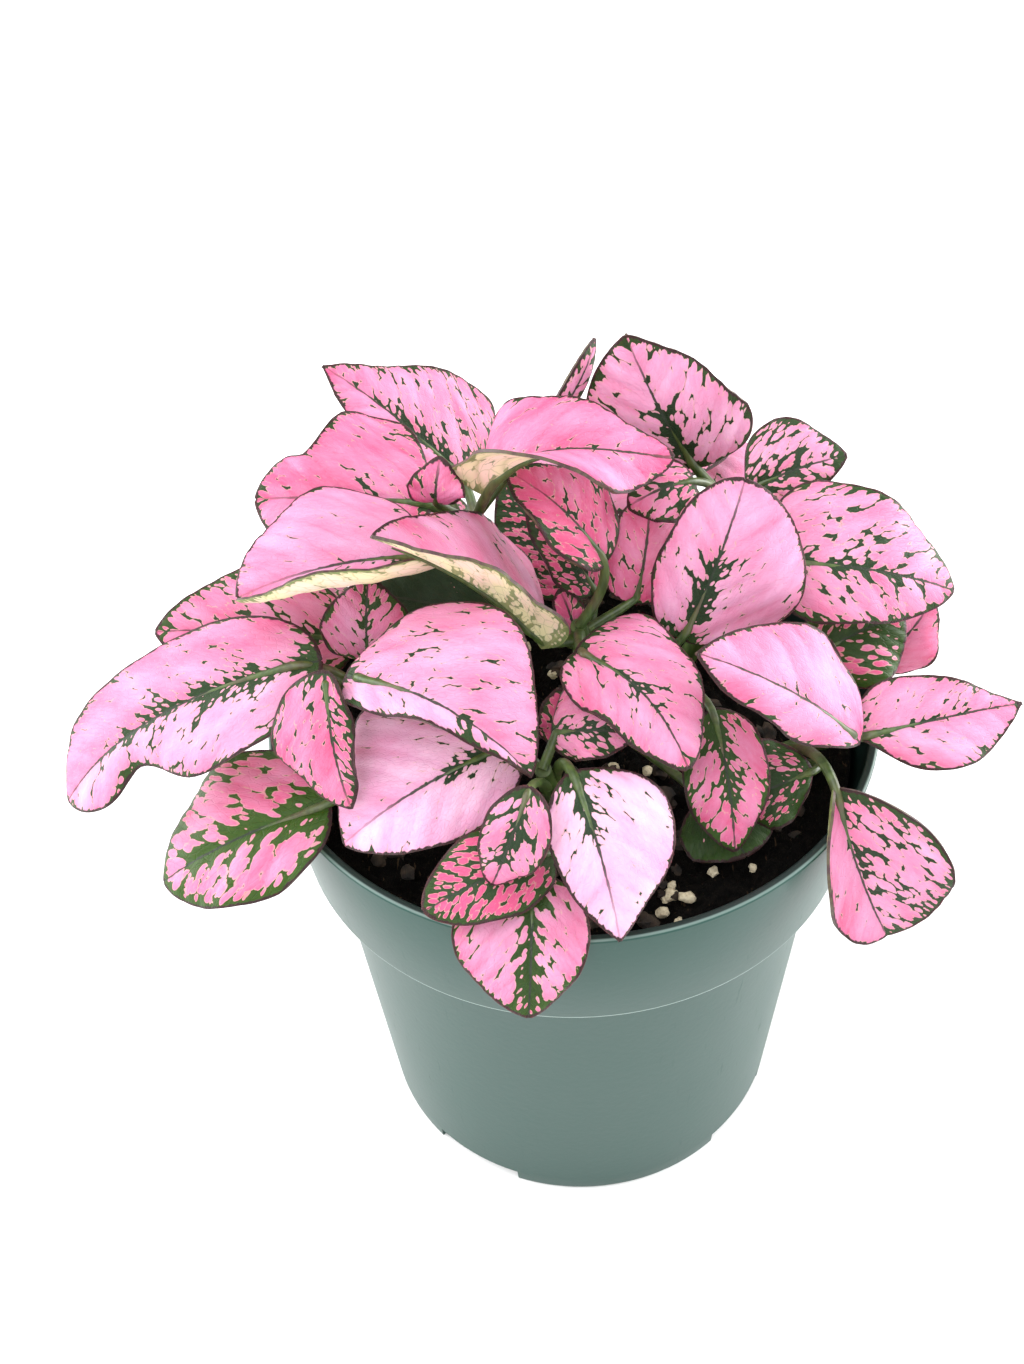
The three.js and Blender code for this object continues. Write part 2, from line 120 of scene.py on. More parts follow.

# %% [markdown]
# ## Camera
# The photograph looks down on the plant from the front, 43 degrees above the table, from about 16
# centimetres away. So close a camera makes strong perspective: the near leaves look big and the pot narrows
# quickly towards its foot. The camera is placed first.

# %% Place the camera
camera_height_degrees = 43.17
camera_roll = -0.0612
eye = Vector((-4.84, -90.8, 134.0)) * mm
frame_height_px = 1364
focal_px = 1503.6
sensor_width = 36
nearest_seen = 0.005

bpy.ops.object.camera_add(location=eye)
camera = bpy.context.object
camera.name = "camera"
look_down = Matrix.Rotation(math.radians(90 - camera_height_degrees), 4, "X")
camera.matrix_world = Matrix.Translation(eye) @ look_down @ Matrix.Rotation(camera_roll, 4, "Z")
camera.data.sensor_width = sensor_width
camera.data.lens = focal_px * sensor_width / frame_height_px
camera.data.clip_start = nearest_seen
bpy.context.scene.camera = camera
print("lens, mm:", round(camera.data.lens, 2))

# %% [markdown]
# ## Table and light
# The plant stands on a white table in a bright white room. A white world lights it from all round and gives
# the pot its pale sides. A wide soft light from above brightens the tops of the leaves, one on either side
# brightens the sides of the pot, and a weak one in front keeps the shadows open. Their places and widths
# are in metres.

# %% Floor, world and lamps
floor_size, floor_drop = 3.0, 0.0001
world_strength = 0.8
sun_strength, sun_angle = 2.4, 60
sun_place, sun_way = (-0.2, -0.2, 0.6), (0.28, 0.12, -1)
side_aim, side_size = (0, 0, 0.03), 0.36
# Name, place, the point that it faces, width and power of each soft lamp
soft_lamps = [
    ("lamp_left_side", (-0.42, 0.10, 0.14), side_aim, side_size, 2.3),
    ("lamp_right_side", (0.42, 0.10, 0.14), side_aim, side_size, 3.6),
    ("lamp_in_front", (-0.10, -0.50, 0.42), (0, 0, 0.06), 0.40, 1.6),
]


def add_lamp(kind, name, place, power, way):
    """A lamp at a place that shines this way. Returns its light, for what only its kind has."""
    bpy.ops.object.light_add(type=kind, location=place)
    lamp = bpy.context.object
    lamp.name = name
    lamp.data.energy = power
    lamp.rotation_euler = Vector(way).to_track_quat("-Z", "Y").to_euler()
    return lamp.data


clear_selection()
bpy.ops.mesh.primitive_plane_add(size=floor_size, location=(0, 0, -floor_drop))
floor = name_new("floor")

world = bpy.data.worlds.new("white_room")
world.use_nodes = True
background = world.node_tree.nodes["Background"]
background.inputs["Color"].default_value = (1, 1, 1, 1)
background.inputs["Strength"].default_value = world_strength
bpy.context.scene.world = world

sun = add_lamp("SUN", "lamp_above", sun_place, sun_strength, sun_way)
sun.angle = math.radians(sun_angle)
for name, place, aim, size, power in soft_lamps:
    light = add_lamp("AREA", name, place, power, Vector(aim) - Vector(place))
    light.size = size
bpy.context.scene.view_settings.view_transform = "Standard"

# %% [markdown]
# ## Wiring a material
# A node material is a small calculation that runs for every point of a surface. What comes out of a node is
# wrapped as a Flow here, so that a script can reckon with it as with a number, and each sum makes one node.
# The other helpers make the few kinds of node that this plant needs. An input may be a number, a colour or
# a Flow. A finish is a function that is given an empty node tree and says what goes into the inputs of its
# main shader.

# %% Sums with nodes
class Flow:
    """What comes out of a node."""

    def __init__(self, socket):
        self.socket = socket
        self.tree = socket.id_data

    def __add__(self, other):
        return calc("ADD", self, other)

    def __sub__(self, other):
        return calc("SUBTRACT", self, other)

    def __rsub__(self, other):
        return calc("SUBTRACT", other, self)

    def __mul__(self, other):
        return calc("MULTIPLY", self, other)

    def __truediv__(self, other):
        return calc("DIVIDE", self, other)

    def __neg__(self):
        return self * -1.0

    __radd__ = __add__


def feed(node, inputs):
    """Joins outputs to a node's inputs, or writes plain values on them. Inputs go by name or by number."""
    for key, value in inputs.items():
        if isinstance(value, Flow):
            node.id_data.links.new(value.socket, node.inputs[key])
        else:
            node.inputs[key].default_value = value


def from_node(tree, kind, output, inputs=None, **settings):
    """What comes out of a new node of this kind, once it is set up and fed."""
    node = tree.nodes.new("ShaderNode" + kind)
    for setting, value in settings.items():
        setattr(node, setting, value)
    feed(node, inputs or {})
    return Flow(node.outputs[output])


def calc(operation, *terms, clamp=False):
    """One sum, in which at least one term is a Flow."""
    tree = next(term.tree for term in terms if isinstance(term, Flow))
    return from_node(tree, "Math", 0, dict(enumerate(terms)), operation=operation, use_clamp=clamp)


def clamped(value):
    """The value, kept between 0 and 1."""
    return calc("ADD", value, 0.0, clamp=True)


def step_up(value, low, high):
    """0 below low, 1 above high, smooth between."""
    inputs = {"Value": value, "From Min": low, "From Max": high}
    return from_node(value.tree, "MapRange", 0, inputs, interpolation_type="SMOOTHSTEP")


def blend(amount, first, second):
    """The first colour where the amount is 0, the second where it is 1."""
    first, second = (colour if isinstance(colour, Flow) else (*colour, 1) for colour in (first, second))
    return from_node(amount.tree, "Mix", 2, {0: amount, 6: first, 7: second}, data_type="RGBA")

# %% Patterns and bumps
def in_steps(coordinates, size):
    """Coordinates counted in steps of a pattern, with the step's size along each axis."""
    return from_node(coordinates.tree, "Mapping", 0, {"Vector": coordinates, "Scale": [1 / s for s in size]})


def on_piece(tree, *size):
    """A point's place on the piece in metres, in steps of one size or of three."""
    return in_steps(from_node(tree, "TexCoord", "Object"), size if len(size) == 3 else size * 3)


def on_leaf(tree, across, along):
    """A point's place on the leaf's own chart in millimetres, in steps of these sizes."""
    return in_steps(from_node(tree, "UVMap", "UV", uv_map="leaf_chart"), (across, along, 1))


def cloud(where, detail=2, rough=0.5):
    """Soft random patches, about 0.3 to 0.7."""
    inputs = {"Vector": where, "Scale": 1, "Detail": detail, "Roughness": rough}
    return from_node(where.tree, "TexNoise", 0, inputs)


def dots(where, feature="F1", dimensions="2D"):
    """Distance to the nearest of many random dots, in steps of the pattern."""
    return from_node(where.tree, "TexVoronoi", "Distance", {"Vector": where, "Scale": 1},
                     voronoi_dimensions=dimensions, feature=feature)


def bumps(height, depth, strength=1.0, over=None):
    """The height, 0 to 1, stands up by the depth in metres, over other bumps if there are any."""
    inputs = {"Height": height, "Distance": depth, "Strength": strength}
    if over:
        inputs["Normal"] = over
    return from_node(height.tree, "Bump", "Normal", inputs)


def material_of(finish):
    """The material that a finish function wires, with the function's name."""
    material = bpy.data.materials.new(finish.__name__)
    material.use_nodes = True
    feed(material.node_tree.nodes["Principled BSDF"], finish(material.node_tree))
    return material


def give(piece, *materials):
    """The piece's materials, in order."""
    piece.data.materials.clear()
    for material in materials:
        piece.data.materials.append(material)

# %% Floor paint
floor_whites = (0.92, 0.92, 0.92), (0.9, 0.9, 0.9)


def floor_paint(tree):
    return {"Base Color": blend(cloud(on_piece(tree, 0.05)), *floor_whites), "Roughness": 0.6}


give(floor, material_of(floor_paint))

# %% [markdown]
# ## Pot
# The real pot is thin polypropylene, moulded in one shot: a tapering wall, a deep collar that makes a ledge
# on the outside, and a ring foot with shallow recesses under which water drains. It could be spun from a
# profile. Here each ring is extruded from the last and scaled, as on a potter's wheel, which closes the
# shape by itself.

# %% Turn a shape from rings
def turned(name, outline, sides):
    """Rings of (radius, height) in mm, extruded one from the other, with a face on the first and the last."""
    clear_selection()
    radius, height = outline[0]
    bpy.ops.mesh.primitive_circle_add(vertices=sides, radius=radius * mm, fill_type="NGON",
                                      location=(0, 0, height * mm))
    piece = name_new(name)
    bpy.ops.object.mode_set(mode="EDIT")
    bpy.ops.mesh.select_mode(type="FACE")
    for next_radius, next_height in outline[1:]:
        rise = (next_height - height) * mm
        bpy.ops.mesh.extrude_region_move(TRANSFORM_OT_translate={"value": (0, 0, rise)})
        grow = next_radius / radius
        bpy.ops.transform.resize(value=(grow, grow, 1), center_override=(0, 0, next_height * mm))
        radius, height = next_radius, next_height
    bpy.ops.mesh.select_all(action="SELECT")
    bpy.ops.mesh.normals_make_consistent(inside=False)
    bpy.ops.object.mode_set(mode="OBJECT")
    return piece


def cut(piece, cutter, operation="DIFFERENCE"):
    """Cuts the cutter out of the piece, or joins it on, and throws the cutter away."""
    apply_modifier(piece, "BOOLEAN", operation=operation, object=cutter, solver="EXACT")
    remove(cutter)

# %% Pot body
pot_height, rim_radius, wall = 46.7, 25.4, 0.8
collar_foot, collar_foot_radius, wall_top_radius = 35.1, 23.95, 22.0
ledge_slope, throat = 0.3, 0.6
foot_radius, foot_width, foot_depth = 19.2, 1.4, 1.5
low_ring = (19.35, 1.9)
floor_top, floor_corner, centre_radius = 2.7, 1, 0.6
edge_round = 0.3
pot_outline = [
    (centre_radius, foot_depth), (foot_radius - foot_width, foot_depth), (foot_radius - foot_width, 0),
    (foot_radius, 0), low_ring, (wall_top_radius, collar_foot), (collar_foot_radius, collar_foot),
    (rim_radius, pot_height), (rim_radius - wall, pot_height),
    (collar_foot_radius - wall, collar_foot + wall + ledge_slope),
    (wall_top_radius - wall, collar_foot + throat), (foot_radius - wall, floor_top + floor_corner),
    (foot_radius - wall - floor_corner, floor_top), (centre_radius, floor_top),
]
pot = turned("pot_moulded", pot_outline, sides=128)
apply_modifier(pot, "BEVEL", width=edge_round * mm, segments=4, limit_method="ANGLE",
               angle_limit=math.radians(30))

# %% Drain recesses, drain holes and the pad under the pot
recess_angles = [-125, -39, 51, 141]
recess_depth, recess_width = 3.0, 8.8
hole_radius, hole_distance = 2.2, 14.0
pad_radius, pad_height = 5.0, 2.1


def round_bar(name, radius, length, place, sides):
    """A cylinder to cut with or to join on, in mm."""
    clear_selection()
    bpy.ops.mesh.primitive_cylinder_add(vertices=sides, radius=radius * mm, depth=length * mm, location=place)
    return name_new(name)


cut(pot, round_bar("pad", pad_radius, pad_height, (0, 0, pad_height / 2 * mm), sides=48), "UNION")
for angle in recess_angles:
    turn = math.radians(angle)
    out = Vector((math.cos(turn), math.sin(turn), 0))
    clear_selection()
    bpy.ops.mesh.primitive_cube_add(size=1, location=out * foot_radius * mm, rotation=(0, 0, turn),
                                    scale=(2 * recess_depth * mm, recess_width * mm, 2 * foot_depth * mm))
    cut(pot, name_new("recess_cutter"))
    place = out * hole_distance * mm + Vector((0, 0, floor_top * mm))
    cut(pot, round_bar("hole_cutter", hole_radius, 2 * floor_top, place, sides=32))
smooth(pot, degrees=30)
print("pot faces:", len(pot.data.polygons))

# %% [markdown]
# The plastic is a grey green with a satin skin. Its sides look pale because a smooth surface mirrors the
# bright room at a shallow angle, so the gloss comes from the shader and not from paint. The mould leaves a
# faint orange peel and handling leaves fine scuffs. A pale line at the foot of the collar, and a fainter one
# at the top edge, are a painted highlight, and the inside above the ledge is painted dark as painted shade.

# %% Pot plastic
pot_greens = (0.007, 0.045, 0.035), (0.011, 0.054, 0.042)
# The last colour on the next line is a painted highlight for the edge at the collar's foot and the top edge
scuffed_green, highlight_green = (0.07, 0.11, 0.095), (0.40, 0.50, 0.47)
# Painted shade for the inside of the pot above the ledge
painted_shade_green = (0.004, 0.010, 0.009)
highlight_above_ledge, wall_lean = 0.15, 0.125
# Where each of these begins and where it is full, in mm: the first two place the painted highlight lines,
# the next says where the outside begins, and the last two place the painted shade inside
highlight_from_edge, highlight_below_top = (0.08, 0.22), (0.16, 0.06)
outside_from_ledge, shade_above_ledge, shade_inside_lip = (0.3, 0.1), (2, 3), (0.48, 0.62)


def radius_and_height(tree):
    """How far a point is from the pot's axis, and how high it is, in metres."""
    x, y, z = (from_node(tree, "SeparateXYZ", axis, {"Vector": on_piece(tree, 1)}) for axis in "XYZ")
    return calc("SQRT", x * x + y * y), z


def pot_plastic(tree):
    peel = cloud(on_piece(tree, 0.0006), 3)
    broad = cloud(on_piece(tree, 0.02, 0.02, 0.03), 3)
    scuffs = step_up(cloud(on_piece(tree, 0.0004, 0.0004, 0.006), 4, 0.6), 0.62, 0.74)
    scuffed = blend(scuffs * 0.25, blend(broad, *pot_greens), scuffed_green)
    radius, height = radius_and_height(tree)
    # A thin pale line is a painted highlight: full at the collar's foot, fainter at the top edge
    from_edge = calc("ABSOLUTE", height - (collar_foot + highlight_above_ledge) * mm)
    near_top = step_up(height, *((pot_height - drop) * mm for drop in highlight_below_top))
    highlight_line = calc("MAXIMUM", 1 - step_up(from_edge, *(gap * mm for gap in highlight_from_edge)), near_top * 0.4)
    outside = step_up(radius, *((collar_foot_radius - gap) * mm for gap in outside_from_ledge))
    highlighted = blend(highlight_line * outside * 0.75, scuffed, highlight_green)
    # The dark inside above the ledge and under the lip is painted shade
    above_ledge = step_up(height, *((collar_foot + rise) * mm for rise in shade_above_ledge))
    lip = (rim_radius - wall) * mm - wall_lean * pot_height * mm
    inside = 1 - step_up(radius - height * wall_lean, *(lip + gap * mm for gap in shade_inside_lip))
    inside_shaded = blend(inside * above_ledge * 0.92, highlighted, painted_shade_green)
    return {"Base Color": inside_shaded, "Roughness": 0.30 + broad * 0.12 + scuffs * 0.1, "Specular IOR Level": 0.3,
            "Normal": bumps(peel, 0.00003, 0.35)}


give(pot, material_of(pot_plastic))
finish_piece(pot, "pot")

# %% [markdown]
# ## Soil
# Potting mix is dark peat with crumbs, bits of bark and white grains of perlite. The top is a fine mesh of
# rings that is pushed up and down by noise at three scales. A displacement texture could do the same, but a
# few lines in code keep the place of each stem hole and of the pot wall exact.

# %% Soil body
soil_top, soil_radius, wall_gap = 42.8, 23.0, 0.3
soil_rim_spread, soil_rim_drop = 0.6, 0.4
skin = wall + wall_gap
soil_outline = [
    (centre_radius, floor_top + wall_gap), (foot_radius - skin - floor_corner, floor_top + wall_gap),
    (foot_radius - skin, floor_top + floor_corner + wall_gap),
    (wall_top_radius - skin, collar_foot + throat + wall_gap),
    (collar_foot_radius - skin, collar_foot + wall + ledge_slope + 2 * wall_gap),
    (collar_foot_radius - skin + soil_rim_spread, soil_top - soil_rim_drop),
]
soil_rings = 64
for ring in range(1, soil_rings):
    soil_outline.append((soil_radius * (1 - ring / soil_rings), soil_top))
soil = turned("soil_crumbly", soil_outline, sides=144)

# %% Crumbs on the top of the soil
soil_settled, top_depth = 0.35, 0.6
calm_radius, calm_width = 23.2, 1.5
wave_height, long_wave, slant_wave = 0.7, 0.35, 0.25
# Height in mm, how many to the mm, and the layer of the noise: lumps, crumbs and fine crumbs
crumb_kinds = [(0.7, 0.55, 3.0), (0.55, 1.6, 9.0), (0.3, 3.4, 5.0)]


def soil_height(x, y):
    """Height of the soil's top at a point, in mm. It lies calm at the pot's wall."""
    waves = long_wave * math.sin(0.55 * x + 1.3) * math.cos(0.6 * y)
    waves += slant_wave * math.sin(0.9 * x - 0.7 * y)
    rise = wave_height * waves
    for height, per_mm, layer in crumb_kinds:
        rise += height * noise.noise(Vector((x, y, layer)) * per_mm)
    calm = min(1.0, max(0.0, (calm_radius - math.hypot(x, y)) / calm_width))
    return soil_top - soil_settled + calm * rise


for vertex in soil.data.vertices:
    if vertex.co.z > (soil_top - top_depth) * mm:
        vertex.co.z = soil_height(vertex.co.x / mm, vertex.co.y / mm) * mm
print("soil faces:", len(soil.data.polygons))

# %% [markdown]
# ## Stems
# The stems are soft, green and a little angular, with a swelling where each pair of leaves leaves them.
# Every stem and every leaf stalk is one and the same blank, a tube that is turned like the pot, copied and
# laid along its own path. A curve with a bevel would give the same tube, but this way the swellings are
# easy to add.

# %% A tube blank and how it is laid along a path
# The blank's rings are a metre in radius and a metre apart, so that a ring's height is also its number
tube_rings = 26
metre = 1 / mm
tube_blank = turned("tube_blank", [(metre, ring * metre) for ring in range(tube_rings + 1)], sides=12)


def corners(mesh):
    """The places of a mesh's vertices as rows of x, y, z."""
    flat = np.empty(len(mesh.vertices) * 3)
    mesh.vertices.foreach_get("co", flat)
    return flat.reshape(-1, 3)


def put_corners(mesh, places):
    """Moves the vertices to these places."""
    mesh.vertices.foreach_set("co", places.astype(np.float32).ravel())
    mesh.update()


def units(rows):
    """Each row made one long."""
    return rows / np.linalg.norm(rows, axis=1)[:, None]


def tube(name, path, radii, side):
    """The blank laid along a path of points in mm, with a radius at each, its ring turned to one side."""
    piece = copy_of(tube_blank, name)
    ahead = units(np.gradient(path, axis=0))
    first = units(side - ahead * (ahead @ side)[:, None])
    second = np.cross(ahead, first)
    blank = corners(tube_blank.data)
    ring = np.rint(blank[:, 2]).astype(int)
    ring_places = first[ring] * blank[:, :1] + second[ring] * blank[:, 1:2]
    places = path[ring] + radii[ring][:, None] * ring_places
    put_corners(piece.data, places * mm)
    return piece

# %% Stems, each through three points
stems = {
    "middle": [(1, 0, 40), (1, -2, 50), (0.5, -4.5, 58.5)],
    "front": [(-1, -9, 40), (-2, -12, 47), (-3, -15.5, 54.5)],
    "left": [(-8, -3, 40), (-13, -6, 49), (-16.5, -9, 58.5)],
    "right": [(10, -4, 40), (16, -6, 44.5), (21, -8, 48.5)],
    "back_left": [(-4, 6, 40), (-6, 5, 54), (-7.5, 2.5, 64)],
    "back_right": [(8, 6, 40), (13, 5, 52), (14.5, 4, 61)],
    "back": [(1, 12, 40), (1, 13, 48), (0, 14, 56)],
}
stem_radius, stem_hole_radius = 0.9, 1.2
radius_at_soil, radius_lost = 0.98, 0.25
joint_spacing, joint_shift, joint_length, joint_swelling = 5.5, 1.5, 0.55, 0.12


def stem_point(points, t):
    """The smooth bow through a stem's three points; t runs from 0 at the soil to 1 at the growing tip."""
    start, middle, end = (np.array(p, float) for p in points)
    t = np.asarray(t, float)[..., None]
    return start * (2 * t - 1) * (t - 1) + middle * 4 * t * (1 - t) + end * t * (2 * t - 1)


def stem_radii(points, t):
    """Thinner towards the tip, swollen at each joint."""
    length = np.linalg.norm(np.subtract(points[2], points[0])) * t
    from_joint = (length + joint_shift) % joint_spacing - joint_spacing / 2
    swelling = np.exp(-(from_joint / joint_length) ** 2)
    return stem_radius * (radius_at_soil - radius_lost * t) + joint_swelling * swelling


along_stem = np.linspace(0, 1, tube_rings + 1)
ring_side = np.array((1.0, 0, 0))
grown_stems = {}
for key, points in stems.items():
    path = stem_point(points, along_stem)
    cut(soil, tube("stem_hole", path, np.full(tube_rings + 1, stem_hole_radius), ring_side))
    stem = tube("stem_" + key + "_grown", path, stem_radii(points, along_stem), ring_side)
    smooth(stem, degrees=70)
    grown_stems[key] = stem
smooth(soil, degrees=60)
print("stems:", len(stems))

# %% [markdown]
# Young stems are green with short fine streaks along them, and blush red in patches. Their skin is slightly
# moist, so they shine a little more than the leaves.

# %% Stem skin
stem_greens = (0.030, 0.056, 0.011), (0.062, 0.102, 0.020)
stem_blush = (0.13, 0.055, 0.05)


def stem_skin(tree):
    streaks = cloud(on_piece(tree, 0.0005, 0.0005, 0.003), 3)
    patches = step_up(cloud(on_piece(tree, 0.004)), 0.5, 0.75)
    green = blend(step_up(streaks, 0.35, 0.65), *stem_greens)
    return {"Base Color": blend(patches * 0.5, green, stem_blush), "Roughness": 0.42, "Coat Weight": 0.1,
            "Normal": bumps(streaks, 0.00006, 0.5)}


stem_green = material_of(stem_skin)
for key, stem in grown_stems.items():
    give(stem, stem_green)
    finish_piece(stem, "stem_" + key)

# %% [markdown]
# Peat is nearly black where it is damp, with brown fibres lying in it. It takes in light and hardly shines,
# so its roughness is high and its mirror level low.

# %% Peat
peat_browns = (0.0013, 0.0012, 0.0011), (0.006, 0.0047, 0.0037)
damp_peat, fibre_brown = (0.0026, 0.0023, 0.002), (0.07, 0.045, 0.026)


def peat(tree):
    crumb = cloud(on_piece(tree, 0.0007), 5, 0.65)
    patch = cloud(on_piece(tree, 0.004), 3)
    fibres = step_up(cloud(on_piece(tree, 0.0003, 0.0016, 0.0006), 3), 0.66, 0.7)
    dark = blend(step_up(crumb, 0.4, 0.65), *peat_browns)
    damp = blend(step_up(patch, 0.45, 0.65), dark, damp_peat)
    return {"Base Color": blend(fibres * 0.6, damp, fibre_brown), "Roughness": 0.72 + patch * 0.35,
            "Specular IOR Level": 0.08, "Normal": bumps(crumb, 0.0006)}


give(soil, material_of(peat))
finish_piece(soil, "soil")

# %% [markdown]
# ### Perlite and bark
# Perlite is volcanic glass blown up like popcorn: light, cream-white, rounded and pitted. Each grain starts
# as a ball of small triangles that is pushed in and out by noise. A few lie where the photograph shows a
# cluster in front on the right, and the others are scattered. Bark crumbs are the same ball, darker and
# flatter.

# %% Grains on the soil
dice = random.Random(7)
grain_cluster = [(6.0, -18.1), (7.5, -18.9), (5.5, -19.8), (6.6, -21.0), (6.5, -17.6), (9.9, -16.1),
                 (13.0, -15.9)]
perlite_count, crumb_count = 44, 170
open_radius, stem_clearance = 21.2, 2.6
grain_lift, grain_noise, grain_stretch = 0.25, 1.3, (0.8, 1.3)
full_turn, most_tilt, seed_range = 6.28, 0.5, (0, 99)


def free_of_stems(x, y):
    """True where no stem comes out of the soil."""
    return all(math.hypot(x - foot[0], y - foot[1]) > stem_clearance for foot, middle, tip in stems.values())


def grain(x, y, size, flat, roughness):
    """One grain, half sunk in the soil."""
    clear_selection()
    bpy.ops.mesh.primitive_ico_sphere_add(subdivisions=2, radius=1)
    piece = name_new("grain")
    seat = Vector((x, y, soil_height(x, y) + grain_lift * size * flat))
    turn = Matrix.Rotation(dice.uniform(0, full_turn), 3, "Z")
    tilt = Matrix.Rotation(dice.uniform(-most_tilt, most_tilt), 3, "X")
    seed = Vector([dice.uniform(*seed_range) for axis in "XYZ"])
    stretch = Vector((size * dice.uniform(*grain_stretch), size, size * flat)) / 2
    for vertex in piece.data.vertices:
        bump = 1 + roughness * noise.noise(vertex.co * grain_noise + seed)
        vertex.co = (seat + turn @ tilt @ (vertex.co * bump * stretch)) * mm
    return piece


def joined(name, pieces):
    """All the pieces as one mesh."""
    pick(pieces[0])
    for piece in pieces:
        piece.select_set(True)
    bpy.ops.object.join()
    return rename(pieces[0], name)


def scatter(count, places):
    """Places for grains: those that are given, then random ones over the open soil."""
    places = list(places)
    while len(places) < count:
        x, y = dice.uniform(-open_radius, open_radius), dice.uniform(-open_radius, open_radius)
        if math.hypot(x, y) < open_radius and free_of_stems(x, y):
            places.append((x, y))
    return places


def strewn(name, places, sizes, flat, roughness):
    """Grains of one kind at these places, as one piece."""
    return joined(name, [grain(x, y, dice.uniform(*sizes), flat, roughness) for x, y in places])


perlite = strewn("soil_perlite", scatter(perlite_count, grain_cluster), (0.7, 1.3), flat=0.8, roughness=0.5)
crumbs = strewn("soil_bark_crumbs", scatter(crumb_count, []), (0.6, 2.0), flat=0.5, roughness=0.9)
smooth(perlite, degrees=50)
smooth(crumbs, degrees=30)
print("perlite faces:", len(perlite.data.polygons), "crumb faces:", len(crumbs.data.polygons))

# %% Perlite and bark finishes
perlite_creams, perlite_stain = ((0.56, 0.47, 0.31), (0.78, 0.70, 0.52)), (0.18, 0.13, 0.07)
bark_browns = (0.006, 0.004, 0.003), (0.042, 0.026, 0.015)


def perlite_white(tree):
    pits = dots(on_piece(tree, 0.0002), dimensions="3D")
    stains = step_up(cloud(on_piece(tree, 0.0012), 3), 0.5, 0.7)
    return {"Base Color": blend(stains * 0.6, blend(pits, *perlite_creams), perlite_stain), "Roughness": 0.8,
            "Normal": bumps(pits, 0.0001, 0.8)}


def bark_brown(tree):
    shade = step_up(cloud(on_piece(tree, 0.0011), 4), 0.35, 0.7)
    fibres = cloud(on_piece(tree, 0.0002, 0.0009, 0.0002), 3)
    return {"Base Color": blend(shade, *bark_browns), "Roughness": 0.85,
            "Normal": bumps(fibres, 0.00012, 0.9)}


for piece, finish in ((perlite, perlite_white), (crumbs, bark_brown)):
    give(piece, material_of(finish))
    finish_piece(piece)

# %% [markdown]
# ## Leaves
# A leaf is a thin blade with a stalk that runs on into it as the midrib. Each row below says where one leaf
# stands: the stem it grows on and how far up, the base and the tip of its blade, and the way its upper face
# looks. Then come the values in which it differs from the usual habit. The first of these are its shape:
# its width, how it arches and sways, where it is widest, how blunt and how lopsided it is, how its halves
# fold and curl, and how its margin dents and waves. The last are its looks: how deep its pink is, how
# spotted it is, how dark the blotch along the midrib is and how far it reaches, how wide the green margin
# is, how olive the green is, and how fine the pattern is. How deep the pink is also holds painted shade: it
# is deeper on leaves that lie in shadow and paler on leaves that get little light. A pair of values is for
# the left and the right half, or for the base end and the tip end.

# %% The rows of the leaves
habit = dict(arch=1.5, late=0, sway=0, peak=0.42, blunt=0.75, skew=0, foldL=8, foldR=8, curlL=-30, curlR=-30,
             dentL=(0, 0.5), dentR=(0, 0.5), wave=0.4, waves=2, lead=0.4, old=False, tone=0.3, spots=0.3,
             blotch=0.5, reach=0.9, rim=0.1, olive=0, fine=1.6)


def leaf(name, stem, at, base, tip, face, **own):
    """One leaf: the usual habit with its own values over it."""
    row = SimpleNamespace(name="leaf_" + name, stem=stem, at=at, **{**habit, **own})
    row.base = np.array(base, float)
    row.chord = np.array(tip, float) - row.base
    row.length = np.linalg.norm(row.chord)
    along = row.chord / row.length
    look = np.array(face, float)
    look -= along * (look @ along)
    row.face = look / np.linalg.norm(look)
    row.side = np.cross(along, row.face)
    return row


